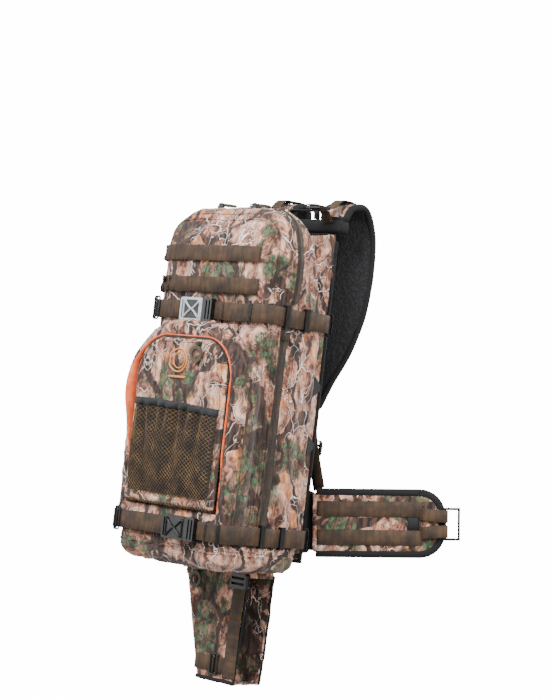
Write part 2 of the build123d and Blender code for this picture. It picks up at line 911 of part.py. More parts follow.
with BuildPart() as shoulder_lock:
    with BuildSketch(Plane.XZ.offset(-web_rear - seat - shoulder_lock_thickness)):
        with Locations(web_kink):
            RectangleRounded(34, 26, 6)
            Rectangle(26, 5, mode=Mode.SUBTRACT)
        with Locations((web_kink[0], web_kink[1] + 8.5), (web_kink[0], web_kink[1] - 8.5)):
            Rectangle(26, 4, mode=Mode.SUBTRACT)
    extrude(amount=shoulder_lock_thickness)
write_pair(shoulder_lock.part, "shoulder_lock")

buckle_half = lifter_width / 2 + lock_rim
with BuildPart() as lifter_buckles:
    add(
        block(
            (lifter_x - buckle_half, lifter_x + buckle_half),
            (lifter_y - lifter_buckle_half, lifter_y + lifter_buckle_half),
            (-2, 2),
        )
    )
    for middle in (-6.5, 6.5):
        add(
            block(
                (lifter_x - buckle_half + lock_bar_end, lifter_x + buckle_half - lock_bar_end),
                (lifter_y + middle - 3, lifter_y + middle + 3),
                (-3, 3),
            ),
            mode=Mode.SUBTRACT,
        )
write(both_sides(lifter_buckles.part), "lifter_buckles")

lifter_plane = Plane.YZ.offset(lifter_x - lifter_width / 2)
with BuildPart() as lifter_webs:
    add(
        band(
            [(lifter_y - 18, lifter_level), (-6, lifter_level), (10, lifter_rise), (34, lifter_rise)],
            8,
            lifter_plane,
            lifter_width,
        )
    )
    add(
        band(
            [(lifter_y - 6, -lifter_level), (-20, -lifter_level), (yoke_front - web, yoke_top - 6)],
            4,
            lifter_plane,
            lifter_width,
        )
    )
write(both_sides(lifter_webs.part), "lifter_webs")
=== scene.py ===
# %% [markdown]
# # A hunting backpack that carries a rifle
# The pack is a stuffed bag in front, a padded harness behind, and an open sleeve between them in which a
# rifle stands with its butt in a fabric boot. The design, its joints and its sizes come from the packed
# frame. This notebook dresses that frame: cloth, webbing, mesh, zippers, thread and moulded buckles.

# %% Load the frame
import math

import bmesh
import bpy
from mathutils import Matrix, Vector, noise
from mathutils.bvhtree import BVHTree
from mathutils.kdtree import KDTree


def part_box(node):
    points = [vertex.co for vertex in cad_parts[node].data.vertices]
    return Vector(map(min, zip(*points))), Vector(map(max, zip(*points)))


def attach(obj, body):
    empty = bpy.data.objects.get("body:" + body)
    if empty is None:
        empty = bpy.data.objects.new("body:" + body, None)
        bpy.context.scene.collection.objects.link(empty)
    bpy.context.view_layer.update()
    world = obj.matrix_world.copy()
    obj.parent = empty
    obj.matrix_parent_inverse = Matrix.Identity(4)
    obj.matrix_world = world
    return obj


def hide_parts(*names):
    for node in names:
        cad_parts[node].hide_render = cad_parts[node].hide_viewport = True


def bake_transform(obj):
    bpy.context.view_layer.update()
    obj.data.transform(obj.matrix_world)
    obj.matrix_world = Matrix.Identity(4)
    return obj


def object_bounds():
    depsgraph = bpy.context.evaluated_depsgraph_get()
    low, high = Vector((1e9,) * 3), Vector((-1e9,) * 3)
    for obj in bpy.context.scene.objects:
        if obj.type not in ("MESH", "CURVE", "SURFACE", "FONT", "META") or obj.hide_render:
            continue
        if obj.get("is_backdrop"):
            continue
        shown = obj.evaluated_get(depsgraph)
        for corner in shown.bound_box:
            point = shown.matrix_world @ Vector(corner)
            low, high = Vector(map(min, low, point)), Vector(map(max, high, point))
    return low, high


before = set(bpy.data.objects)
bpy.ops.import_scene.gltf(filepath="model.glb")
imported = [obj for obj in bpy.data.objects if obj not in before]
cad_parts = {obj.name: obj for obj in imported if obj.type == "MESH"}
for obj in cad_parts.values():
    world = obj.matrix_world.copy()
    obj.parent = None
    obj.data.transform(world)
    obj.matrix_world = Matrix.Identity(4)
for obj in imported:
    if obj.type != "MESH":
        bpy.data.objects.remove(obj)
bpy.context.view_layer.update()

# %% [markdown]
# Sizes are thought of in millimetres, as a pack maker would, and turned to metres once. The webbing widths
# and the thread pitch are the trade's usual ones.

# %% Sizes
MM = 0.001
web_thickness = 1.6 * MM
row_width = 25 * MM
thread_radius = 0.45 * MM
stitch_pitch = 4.2 * MM

# %% [markdown]
# ## Camera, floor and light
# The pack hangs in the air, seen from its front right corner and a little from below, and it leans to the
# right. A long lens keeps the bag's upright edges nearly parallel. Instead of leaning the pack, which would
# move the frame, the camera is rolled. The studio is one pale round sheet, so it is the same from all sides.

# %% Camera
camera_data = bpy.data.cameras.new("camera")
camera_data.lens = 107.1
camera_data.sensor_width = 36
camera = bpy.data.objects.new("camera", camera_data)
bpy.context.scene.collection.objects.link(camera)
camera_place = Vector((2.4158, -2.4451, -0.3781))
camera_target = Vector((-0.0215, -0.0077, -0.2336))
camera_roll = math.radians(6.6)
looking = (camera_target - camera_place).to_track_quat("-Z", "Y").to_matrix().to_4x4()
camera.matrix_world = Matrix.Translation(camera_place) @ looking @ Matrix.Rotation(camera_roll, 4, "Z")
bpy.context.scene.camera = camera


# %% Colours
def linear(code, alpha=1.0):
    """An sRGB hex colour as the linear values that a shader takes."""
    parts = [int(code[i:i + 2], 16) / 255 for i in (1, 3, 5)]
    return [p / 12.92 if p <= 0.04045 else ((p + 0.055) / 1.055) ** 2.4 for p in parts] + [alpha]


# %% Floor and backdrop
def object_from(name, verts, faces, smooth=True):
    """A mesh object in the scene, made from plain lists."""
    mesh = bpy.data.meshes.new(name)
    mesh.from_pydata([tuple(v) for v in verts], [], faces)
    mesh.update()
    for polygon in mesh.polygons:
        polygon.use_smooth = smooth
    made = bpy.data.objects.new(name, mesh)
    bpy.context.scene.collection.objects.link(made)
    return made


def node(tree, kind, inputs=None, **settings):
    """Adds a node, sets what it is, and fills or links its inputs."""
    made = tree.nodes.new(kind)
    for key, value in settings.items():
        setattr(made, key, value)
    for key, value in (inputs or {}).items():
        if isinstance(value, bpy.types.NodeSocket):
            tree.links.new(value, made.inputs[key])
        else:
            made.inputs[key].default_value = value
    return made


def surface(name, colour, roughness, **constants):
    """A new material, its tree and its shader, with the values that are the same all over."""
    made = bpy.data.materials.new(name)
    made.use_nodes = True
    shader = made.node_tree.nodes["Principled BSDF"]
    shader.inputs["Base Color"].default_value = linear(colour)
    shader.inputs["Roughness"].default_value = roughness
    for key, value in constants.items():
        shader.inputs[key.replace("_", " ").title().replace("Ior", "IOR")].default_value = value
    return made, made.node_tree, shader


def backdrop():
    """A round studio: a floor under the pack that curves up into a wall far behind every side."""
    floor_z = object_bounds()[0][2] - 0.32
    radius, bend, height, turns = 7.0, 2.0, 7.0, 64
    profile = [(2.5, 0.0), (radius - bend, 0.0)]
    profile += [
        (radius - bend + bend * math.sin(a), bend - bend * math.cos(a))
        for a in (math.pi / 24 * i for i in range(1, 13))
    ]
    profile += [(radius, height)]
    verts = []
    for reach, rise in profile:
        for i in range(turns):
            angle = math.tau * i / turns
            verts.append((reach * math.cos(angle), reach * math.sin(angle), floor_z + rise))
    verts.append((0, 0, floor_z))
    middle = len(verts) - 1
    faces = [
        (k * turns + i, k * turns + (i + 1) % turns, (k + 1) * turns + (i + 1) % turns, (k + 1) * turns + i)
        for k in range(len(profile) - 1) for i in range(turns)
    ]
    faces += [(middle, (i + 1) % turns, i) for i in range(turns)]
    sheet = object_from("backdrop", verts, faces)
    # The paper shines by itself, so it looks evenly white, but it isn't what lights the pack.
    sheet.visible_diffuse = False
    sheet.visible_glossy = False
    sheet.visible_shadow = False
    paper, tree, shader = surface("backdrop_paper", "#FDFDFD", 0.9)
    shader.inputs["Emission Color"].default_value = linear("#FFFFFF")
    shader.inputs["Emission Strength"].default_value = 14.0
    sheet.data.materials.append(paper)
    sheet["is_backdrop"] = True


backdrop()


# %% Lights
def soft_light(name, place, size, power, tint="#FFFFFF"):
    """A large square lamp that looks at the middle of the pack."""
    data = bpy.data.lights.new(name, "AREA")
    data.size = size
    data.energy = power
    data.color = linear(tint)[:3]
    lamp = bpy.data.objects.new(name, data)
    bpy.context.scene.collection.objects.link(lamp)
    aim = (Vector((0, -0.05, -0.35)) - Vector(place)).to_track_quat("-Z", "Y")
    lamp.matrix_world = Matrix.Translation(place) @ aim.to_matrix().to_4x4()


soft_light("key", (0.2, -2.6, 1.7), 1.3, 165)
soft_light("side", (2.6, -0.6, 0.7), 1.2, 80)
soft_light("fill", (-2.2, -2.2, 0.2), 2.0, 34)
soft_light("rim", (0.8, 2.2, 1.4), 1.4, 60)
world = bpy.data.worlds.new("studio")
world.use_nodes = True
world.node_tree.nodes["Background"].inputs["Color"].default_value = linear("#F4F5F7")
world.node_tree.nodes["Background"].inputs["Strength"].default_value = 0.85
bpy.context.scene.world = world

# %% [markdown]
# ## Finishes
# Every finish is a small tree of textures that read the object's own coordinates, in metres, so a texture
# scale is one over the size of what it draws. Strips of webbing read a UV map instead, laid out in metres
# along and across the strip, because their ribs follow the strip round its bends.


# %% Small texture helpers
def ramp(tree, factor, *stops):
    """Turns a value into a colour through stops of (place, hex colour)."""
    made = node(tree, "ShaderNodeValToRGB", {"Fac": factor})
    band = made.color_ramp
    while len(band.elements) < len(stops):
        band.elements.new(0.5)
    for element, (place, colour) in zip(band.elements, stops):
        element.position = place
        element.color = linear(colour)
    return made.outputs["Color"]


def mask(tree, value, low, high):
    """0 below low and 1 above high, or the other way round when low is the larger."""
    made = node(tree, "ShaderNodeMapRange", {"Value": value, "From Min": low, "From Max": high})
    return made.outputs["Result"]


def mix(tree, factor, under, over, how="MIX"):
    """Lays one colour over another."""
    made = node(tree, "ShaderNodeMix", {0: factor, 6: under, 7: over}, data_type="RGBA", blend_type=how)
    return made.outputs[2]


def times(tree, a, b, operation="MULTIPLY"):
    """Arithmetic on two values."""
    return node(tree, "ShaderNodeMath", {0: a, 1: b}, operation=operation).outputs[0]


def bump(tree, shader, height, distance, strength=1.0):
    """Raises the surface by a height pattern; distance is in metres."""
    made = node(tree, "ShaderNodeBump", {"Height": height, "Distance": distance, "Strength": strength})
    tree.links.new(made.outputs["Normal"], shader.inputs["Normal"])


def place(tree):
    """The object's own coordinates, in metres."""
    return node(tree, "ShaderNodeTexCoord").outputs["Object"]


def stretched(tree, vector, scale, turn=(0, 0, 0)):
    """Coordinates turned and stretched, for patterns that run one way."""
    return node(tree, "ShaderNodeMapping", {"Vector": vector, "Scale": scale, "Rotation": turn}).outputs[0]


def grain(tree, vector, size, detail=2.0, rough=0.5):
    """Cloudy noise whose features are about size metres across."""
    return node(
        tree, "ShaderNodeTexNoise", {"Vector": vector, "Scale": 1 / size, "Detail": detail, "Roughness": rough}
    )


def cells(tree, vector, size, feature="DISTANCE_TO_EDGE"):
    """Cells about size metres across."""
    return node(tree, "ShaderNodeTexVoronoi", {"Vector": vector, "Scale": 1 / size}, feature=feature)


def warped(tree, vector, size, amount):
    """Coordinates pushed about by cloudy noise, which makes straight patterns grow like wood."""
    push = grain(tree, vector, size, 3.0).outputs["Color"]
    centred = node(tree, "ShaderNodeVectorMath", {0: push, 1: (0.5, 0.5, 0.5)}, operation="SUBTRACT").outputs[0]
    scaled = node(tree, "ShaderNodeVectorMath", {0: centred, 3: amount}, operation="SCALE").outputs[0]
    return node(tree, "ShaderNodeVectorMath", {0: vector, 1: scaled}, operation="ADD").outputs[0]


# %% [markdown]
# ### Printed camouflage polyester
# The cloth is brushed polyester printed with a woodland scene: pinkish bark, dark branches with pale twigs
# beside them, bunches of green needles and a few orange leaves. It could be painted as an image, but a
# solid pattern made of noise and cells needs no unwrapping and runs over seams without a break. Branches
# are the edges between large warped cells; needles are the edges between long thin ones.


# %% Camouflage
def camouflage(name="camouflage_polyester"):
    made, tree, shader = surface(name, "#A78B79", 0.85, sheen_weight=0.12, sheen_roughness=0.5)
    at = place(tree)
    bark_at = warped(tree, at, 0.05, 0.05)
    bark = grain(tree, stretched(tree, bark_at, (1, 1, 0.5), (0.4, 0.6, 0)), 0.02, 10.0, 0.72).outputs["Fac"]
    ground = ramp(
        tree, bark,
        (0.34, "#150A06"), (0.42, "#47281C"), (0.47, "#8A5A45"), (0.53, "#C7947A"), (0.60, "#E9C0A8"), (0.69, "#FCE4D6"),
    )
    litter = cells(tree, stretched(tree, warped(tree, at, 0.02, 0.02), (1, 0.45, 0.45), (0.7, 0.4, 0.3)), 0.0085, "F1")
    shade = node(tree, "ShaderNodeSeparateColor", {"Color": litter.outputs["Color"]}).outputs["Green"]
    ground = mix(tree, 0.55, ground, ramp(tree, shade, (0.0, "#6B5650"), (0.5, "#D9C6C0"), (1.0, "#FFFFFF")), "MULTIPLY")
    leaf = cells(tree, warped(tree, at, 0.02, 0.02), 0.034, "F1")
    leaf_kind = node(tree, "ShaderNodeSeparateColor", {"Color": leaf.outputs["Color"]}).outputs["Red"]
    leaf_here = times(tree, mask(tree, leaf.outputs["Distance"], 0.50, 0.42), mask(tree, leaf_kind, 0.78, 0.81))
    leaf_tone = ramp(tree, bark, (0.38, "#6E3517"), (0.5, "#C4763F"), (0.62, "#E5AC78"))
    ground = mix(tree, times(tree, leaf_here, 0.8), ground, leaf_tone)
    patch = grain(tree, warped(tree, at, 0.05, 0.04), 0.085, 2.0).outputs["Fac"]
    dark_patch = times(tree, mask(tree, patch, 0.565, 0.605), 0.6)
    ground = mix(tree, dark_patch, ground, linear("#161D10"))
    fine = grain(tree, at, 0.012).outputs["Fac"]
    needle_tone = ramp(tree, fine, (0.36, "#0A2013"), (0.5, "#1E3F28"), (0.62, "#4A6A48"))
    for turn, low in (((0.75, 0.75, 0.2), 0.40), ((-0.75, -0.75, 0.4), 0.50)):
        needle_at = stretched(tree, warped(tree, at, 0.03, 0.02), (1, 1, 0.13), turn)
        needle = cells(tree, needle_at, 0.0042).outputs["Distance"]
        here = times(tree, mask(tree, needle, 0.14, 0.05), mask(tree, patch, 0.56, 0.59))
        side = mask(tree, fine, low, low + 0.05)
        ground = mix(tree, times(tree, here, side), ground, needle_tone)
    limb_at = warped(tree, at, 0.06, 0.075)
    limb = cells(tree, stretched(tree, limb_at, (1, 1, 0.62), (0.2, 0.35, 0)), 0.080).outputs["Distance"]
    streak = grain(tree, stretched(tree, at, (1, 1, 0.2)), 0.006).outputs["Fac"]
    ground = mix(tree, mask(tree, limb, 0.060, 0.046), ground, ramp(tree, streak, (0.4, "#150B07"), (0.6, "#4A3227")))
    twig_at = warped(tree, at, 0.05, 0.06)
    for size, width, strength, turn in ((0.055, 0.008, 0.8, (0.5, -0.3, 0.4)), (0.03, 0.009, 0.55, (-0.4, 0.6, 0.1))):
        twig = cells(tree, stretched(tree, twig_at, (1, 1, 0.7), turn), size).outputs["Distance"]
        dark = mask(tree, twig, width * 4.5, width * 2.5)
        ground = mix(tree, times(tree, dark, 0.6), ground, linear("#26160F"))
        here = times(tree, mask(tree, twig, width * 1.5, width), mask(tree, patch, 0.54, 0.50))
        ground = mix(tree, times(tree, here, strength), ground, linear("#F4DFD6"))
    tree.links.new(ground, shader.inputs["Base Color"])
    crease = grain(tree, at, 0.03, 4.0, 0.6).outputs["Fac"]
    # The real weave is 0.4 mm, too fine to show, so it is drawn at 1.2 mm.
    weave = grain(tree, at, 0.0012, 1.0).outputs["Fac"]
    bump(tree, shader, times(tree, crease, times(tree, weave, 0.12), "ADD"), 0.004, 0.8)
    return made


camo = camouflage()

# %% [markdown]
# ### Woven webbing
# Webbing is nylon tape woven with ribs across it. The grooves between the ribs are painted darker, as painted shade,
# and it is slightly uneven in colour. The ribs on real tape are 0.9 mm apart; they are drawn at 1.8 mm so that
# they show.


# %% Webbing
def webbing(name, dark, middle, light, sheen=0.2):
    made, tree, shader = surface(name, middle, 0.78, sheen_weight=sheen)
    uv = node(tree, "ShaderNodeUVMap", uv_map="strip").outputs["UV"]
    rib = node(
        tree, "ShaderNodeTexWave", {"Vector": uv, "Scale": 1 / (0.0018 * 20), "Distortion": 0.4, "Detail": 1.0},
        wave_type="BANDS", bands_direction="X",
    ).outputs["Fac"]
    thread = node(
        tree, "ShaderNodeTexWave", {"Vector": uv, "Scale": 1 / (0.0025 * 20), "Distortion": 0.8},
        wave_type="BANDS", bands_direction="Y",
    ).outputs["Fac"]
    tone = grain(tree, place(tree), 0.02, 4.0).outputs["Fac"]
    colour = ramp(tree, tone, (0.3, dark), (0.5, middle), (0.7, light))
    # Painted shade: the grooves between the ribs are darkened.
    colour = mix(tree, times(tree, mask(tree, rib, 0.45, 0.0), 0.35), colour, linear(dark))
    tree.links.new(colour, shader.inputs["Base Color"])
    bump(tree, shader, times(tree, rib, times(tree, thread, 0.4), "ADD"), 0.0005, 0.7)
    return made


brown_webbing = webbing("coyote_nylon_webbing", "#20150B", "#3A2715", "#4E371F", 0.02)
black_webbing = webbing("black_nylon_webbing", "#020202", "#050505", "#0C0C0D", 0.0)
elastic = webbing("grey_elastic_tape", "#0E1011", "#1A1C1E", "#272A2C", 0.05)


# %% Thread, binding and plain cloths
def cloth(name, dark, middle, light, weave_size, depth, rough=0.85, sheen=0.2):
    """Plain woven or knitted cloth: a cloudy tone and a fine raised weave."""
    made, tree, shader = surface(name, middle, rough, sheen_weight=sheen)
    at = place(tree)
    tone = grain(tree, at, 0.018, 5.0).outputs["Fac"]
    weave = cells(tree, at, weave_size, "F1").outputs["Distance"]
    colour = ramp(tree, tone, (0.3, dark), (0.5, middle), (0.7, light))
    colour = mix(tree, times(tree, mask(tree, weave, 0.35, 0.75), 0.45), colour, linear(dark))
    tree.links.new(colour, shader.inputs["Base Color"])
    bump(tree, shader, weave, depth, 0.8)
    return made


black_binding = cloth("black_grosgrain_binding", "#020202", "#050505", "#0B0B0C", 0.0016, 0.0004, 0.9, 0.0)
black_cordura = cloth("black_nylon_oxford", "#020202", "#050505", "#0B0B0C", 0.0014, 0.0003, 0.9, 0.0)
orange_lining = cloth("orange_coated_lining", "#B8461A", "#E2602A", "#F2854A", 0.0014, 0.0003, 0.6)
brown_tape = cloth("brown_zipper_tape", "#1C140E", "#30241A", "#463627", 0.0012, 0.0003)
# Near-black cloth for the sheet behind the net: painted shade for the pocket's dark inside.
pocket_shade_cloth = cloth("painted_pocket_shade", "#0A0603", "#150E07", "#241809", 0.0022, 0.0006, 0.85, 0.0)


def spacer_mesh():
    """Black knitted spacer mesh: rows of small holes with soft walls, which keep it open to the air; the holes are
    painted darker than their walls, as painted shade.
    """
    made, tree, shader = surface("black_spacer_mesh", "#0B0B0C", 0.9)
    at = place(tree)
    # The holes are 2.5 mm apart on the real mesh; they are drawn at 3.2 mm so that they show.
    hole = cells(tree, stretched(tree, at, (1, 1, 0.8)), 0.0032, "F1").outputs["Distance"]
    # Painted shade: the hollow centres are darkest and the raised walls lighter.
    colour = ramp(tree, hole, (0.18, "#020202"), (0.42, "#0A0A0B"), (0.75, "#1B1B1E"))
    tree.links.new(colour, shader.inputs["Base Color"])
    bump(tree, shader, hole, 0.0016, 1.0)
    return made


mesh_black = spacer_mesh()


def thread(name, colour):
    """Bonded polyester thread, slightly glossy."""
    made, tree, shader = surface(name, colour, 0.5)
    twist = node(tree, "ShaderNodeTexWave", {"Vector": place(tree), "Scale": 60.0}, bands_direction="DIAGONAL")
    colour_out = mix(tree, twist.outputs["Fac"], linear(colour), linear("#1A140F"))
    mixed = mix(tree, 0.25, linear(colour), colour_out)
    tree.links.new(mixed, shader.inputs["Base Color"])
    return made


brown_thread = thread("brown_bonded_thread", "#3B2C1F")
orange_thread = thread("orange_embroidery_thread", "#E5942F")
black_thread = thread("black_bonded_thread", "#0B0B0C")

# %% [markdown]
# ### Moulded and metal parts
# Buckles are injection-moulded acetal: dark, slightly glossy, with a faint spark-eroded grain and worn,
# lighter patches. The zipper sliders are painted die castings. The stays are drawn aluminium bar, and the
# frame sheet is matt polyethylene.


# %% Plastics and metals
def moulded(name, colour, worn, roughness, grit=0.0012):
    made, tree, shader = surface(name, colour, roughness, ior=1.48)
    at = place(tree)
    speck = grain(tree, at, grit, 3.0).outputs["Fac"]
    scuff = grain(tree, at, 0.011, 6.0, 0.7).outputs["Fac"]
    tone = mix(tree, times(tree, mask(tree, scuff, 0.52, 0.75), 0.6), linear(colour), linear(worn))
    tree.links.new(tone, shader.inputs["Base Color"])
    rough = mask(tree, scuff, 0.3, 0.8)
    rough = node(tree, "ShaderNodeMapRange", {"Value": rough, "To Min": roughness - 0.08, "To Max": roughness + 0.15})
    tree.links.new(rough.outputs["Result"], shader.inputs["Roughness"])
    bump(tree, shader, speck, 0.00025, 0.5)
    return made


black_acetal = moulded("black_acetal", "#050506", "#17181A", 0.3)
# Light grey: a painted reflection. The top socket is black plastic, coloured as if it shone.
reflection_grey_acetal = moulded("reflection_grey_acetal", "#A9B0B6", "#D5DADD", 0.3)
olive_rubber = moulded("olive_moulded_rubber", "#3F3A28", "#5A543C", 0.6)
sheet_plastic = moulded("grey_polyethylene", "#3A3B3D", "#55575A", 0.6)
slider_paint = moulded("bronze_painted_zinc", "#2F2A22", "#6E6555", 0.38)


def drawn_aluminium():
    """Extruded aluminium bar: fine lines along its length make its shine long and narrow."""
    made, tree, shader = surface("drawn_aluminium", "#C4C7CA", 0.35, metallic=1.0)
    line = grain(tree, stretched(tree, place(tree), (1, 1, 0.02)), 0.0009, 3.0).outputs["Fac"]
    rough = node(tree, "ShaderNodeMapRange", {"Value": line, "To Min": 0.25, "To Max": 0.5})
    tree.links.new(rough.outputs["Result"], shader.inputs["Roughness"])
    bump(tree, shader, line, 0.0002, 0.5)
    return made


stay_metal = drawn_aluminium()


# %% Give the carried-over nodes their finishes
def dress(finish, *names):
    """Puts a finish on CAD nodes that stay as they are."""
    for name in names:
        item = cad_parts[name]
        item.data.materials.clear()
        item.data.materials.append(finish)


dress(stay_metal, "stays")
dress(sheet_plastic, "frame_sheet")

# %% [markdown]
# ## Ways of making soft goods
# A padded part starts as a copy of its design node. It is shrunk a little, rebuilt as an even net of small
# squares, and blown up by Blender's cloth solver, so the fabric pulls tight over its filling. How far a
# point may travel is capped, and the cap is small where something presses on the cloth.


# %% Start from a design node
def design_copy(name, *nodes):
    """The surfaces of some design nodes as one new mesh, with their split corners joined."""
    shell = bmesh.new()
    for source in nodes:
        shell.from_mesh(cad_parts[source].data)
    bmesh.ops.remove_doubles(shell, verts=shell.verts, dist=1e-5)
    mesh = bpy.data.meshes.new(name)
    shell.to_mesh(mesh)
    shell.free()
    for polygon in mesh.polygons:
        polygon.use_smooth = True
    made = bpy.data.objects.new(name, mesh)
    bpy.context.scene.collection.objects.link(made)
    return made


def settle(piece):
    """Turns a piece and its modifiers into a plain mesh."""
    bpy.context.view_layer.update()
    done = piece.evaluated_get(bpy.context.evaluated_depsgraph_get())
    mesh = bpy.data.meshes.new_from_object(done)
    piece.modifiers.clear()
    piece.data = mesh
    for polygon in mesh.polygons:
        polygon.use_smooth = True
    return piece


def finish_piece(piece, finish, body, slot, *nodes):
    """Gives a piece its finish, hangs it from its body and hides the design nodes it replaces; slot is not used."""
    piece.data.materials.clear()
    piece.data.materials.append(finish)
    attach(piece, body)
    if nodes:
        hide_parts(*nodes)
    return piece


# %% Stuff a padded part
def stuffed(name, nodes, voxel, shrink, cap, where=None, rounds=20):
    """Blows a padded part up with cloth; where(point) scales the cap, from 0 to 1."""
    piece = design_copy(name, *nodes)
    smaller = piece.modifiers.new("smaller", "DISPLACE")
    smaller.strength = -shrink
    smaller.mid_level = 0
    even = piece.modifiers.new("even", "REMESH")
    even.mode = "VOXEL"
    even.voxel_size = voxel
    settle(piece)
    start = [(v.co.copy(), v.normal.copy()) for v in piece.data.vertices]
    cloth_modifier = piece.modifiers.new("cloth", "CLOTH")
    settings = cloth_modifier.settings
    settings.use_pressure = True
    settings.uniform_pressure_force = 4
    settings.effector_weights.gravity = 0
    settings.quality = 3
    cloth_modifier.point_cache.frame_start = 1
    cloth_modifier.point_cache.frame_end = rounds
    for step in range(1, rounds + 1):
        bpy.context.scene.frame_set(step)
    settle(piece)
    bpy.context.scene.frame_set(1)
    for vertex, (old, normal) in zip(piece.data.vertices, start):
        most = cap * (where(old) if where else 1.0)
        moved = vertex.co - old
        out = moved.dot(normal)
        slide = moved - normal * out
        slide *= min(1.0, 0.3 * cap / max(slide.length, 1e-9))
        vertex.co = old + normal * min(max(out, 0.0), most) + slide
    soften = piece.modifiers.new("soften", "SMOOTH")
    soften.factor = 0.5
    soften.iterations = 3
    finer = piece.modifiers.new("finer", "SUBSURF")
    finer.levels = finer.render_levels = 1
    settle(piece)
    low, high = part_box(nodes[0])
    low_now = [min(v.co[i] for v in piece.data.vertices) for i in range(3)]
    high_now = [max(v.co[i] for v in piece.data.vertices) for i in range(3)]
    below = [round(1000 * (low[i] - low_now[i]), 1) for i in range(3)]
    above = [round(1000 * (high_now[i] - high[i]), 1) for i in range(3)]
    print(name, "faces", len(piece.data.polygons), "grown by mm", below, above)
    return piece


def surface_tree(*pieces):
    """A lookup of the nearest point on some finished meshes."""
    verts, faces = [], []
    for piece in pieces:
        base = len(verts)
        verts += [v.co.copy() for v in piece.data.vertices]
        faces += [[base + i for i in p.vertices] for p in piece.data.polygons]
    return BVHTree.FromPolygons(verts, faces)


# %% [markdown]
# Wrinkles go in after the cloth has settled. Noise that is stretched along one direction pushes the skin in
# and out along its normals, strongest where the cloth is slack.


# %% Wrinkle a skin
def wrinkle(piece, depth, size, stretch=(1, 1, 1), where=None, seed=0.0):
    """Moves each point along its normal by noise; where(point) scales the depth."""
    normals = [v.normal.copy() for v in piece.data.vertices]
    shift = Vector((seed, seed * 1.7, seed * 0.6))
    for vertex, normal in zip(piece.data.vertices, normals):
        p = vertex.co
        probe = Vector((p.x * stretch[0], p.y * stretch[1], p.z * stretch[2])) / size + shift
        fold = 1 - 2 * abs(noise.noise(probe))
        share = where(p) if where else 1.0
        vertex.co = p + normal * depth * share * (fold ** 3 - 0.35)
    piece.data.update()


# %% [markdown]
# ### Strips and rolls
# A strip of webbing follows a line of points, and needs to know which way its face looks at each. The mesh
# carries a UV map in metres, so the woven ribs keep their spacing round every bend. Piping and bound edges
# are rolls: tubes along a line.


# %% Strips of webbing
def rounded(points, radius, steps=4):
    """A polyline whose corners are replaced by short arcs."""
    points = [Vector(p) for p in points]
    out = [points[0]]
    for before, corner, after in zip(points, points[1:], points[2:]):
        a = (before - corner).normalized()
        b = (after - corner).normalized()
        reach = min(radius, (before - corner).length * 0.45, (after - corner).length * 0.45)
        for i in range(steps + 1):
            t = i / steps
            out.append(corner + a * reach * (1 - t) ** 2 + b * reach * t ** 2)
    out.append(points[-1])
    return out


def evenly(points, pitch):
    """The same line with points about pitch apart."""
    out = [points[0]]
    for a, b in zip(points, points[1:]):
        count = max(1, round((b - a).length / pitch))
        out += [a.lerp(b, (i + 1) / count) for i in range(count)]
    return out


def strip(name, line, across, width, thickness=web_thickness, widths=None):
    """A flat tape along a line; across is its width direction, one for all or one for each point."""
    line = [Vector(p) for p in line]
    count = len(line)
    acrosses = across if isinstance(across, list) else [across] * count
    acrosses = [Vector(a).normalized() for a in acrosses]
    half_t = thickness / 2
    soft = min(half_t * 0.8, 0.0007)
    verts, along, run = [], [], 0.0
    for i, point in enumerate(line):
        tangent = (line[min(i + 1, count - 1)] - line[max(i - 1, 0)]).normalized()
        side = (acrosses[i] - tangent * acrosses[i].dot(tangent)).normalized()
        normal = tangent.cross(side)
        half = (widths[i] if widths else width) / 2
        outline = [
            (-half + soft, half_t), (0, half_t * 1.08), (half - soft, half_t), (half, 0),
            (half - soft, -half_t), (0, -half_t), (-half + soft, -half_t), (-half, 0),
        ]
        verts += [point + side * u + normal * v for u, v in outline]
        if i:
            run += (point - line[i - 1]).length
        along.append(run)
    faces = []
    for i in range(count - 1):
        for k in range(8):
            a, b = i * 8 + k, i * 8 + (k + 1) % 8
            faces.append((a, a + 8, b + 8, b))
    faces.append(tuple(range(7, -1, -1))[::-1])
    faces.append(tuple(range((count - 1) * 8, count * 8))[::-1])
    made = object_from(name, verts, faces)
    uv = made.data.uv_layers.new(name="strip")
    sides = [-width / 2, 0, width / 2, width / 2, width / 2, 0, -width / 2, -width / 2]
    for loop in made.data.loops:
        uv.data[loop.index].uv = (along[loop.vertex_index // 8], sides[loop.vertex_index % 8])
    outward(made)
    return made


def outward(piece):
    """Turns a closed mesh's faces outwards."""
    shell = bmesh.new()
    shell.from_mesh(piece.data)
    bmesh.ops.recalc_face_normals(shell, faces=shell.faces)
    shell.to_mesh(piece.data)
    shell.free()


def roll(name, line, radius, closed=False, sides=8, flat=1.0):
    """A tube along a line of points; flat below 1 makes it an oval."""
    line = [Vector(p) for p in line]
    count = len(line)
    verts, faces = [], []
    previous = None
    for i, point in enumerate(line):
        ahead = line[(i + 1) % count] if closed else line[min(i + 1, count - 1)]
        behind = line[i - 1] if closed or i else line[0]
        tangent = (ahead - behind).normalized()
        if previous is None:
            guess = Vector((0, 0, 1)) if abs(tangent.z) < 0.9 else Vector((1, 0, 0))
            previous = tangent.cross(guess).normalized()
        side = (previous - tangent * previous.dot(tangent)).normalized()
        up = tangent.cross(side)
        previous = side
        for k in range(sides):
            angle = 2 * math.pi * k / sides
            verts.append(point + side * radius * math.cos(angle) + up * radius * flat * math.sin(angle))
    for i in range(count if closed else count - 1):
        j = (i + 1) % count
        for k in range(sides):
            m = (k + 1) % sides
            faces.append((i * sides + k, i * sides + m, j * sides + m, j * sides + k))
    if not closed:
        faces.append(tuple(range(sides))[::-1])
        faces.append(tuple(range((count - 1) * sides, count * sides)))
    made = object_from(name, verts, faces)
    outward(made)
    return made


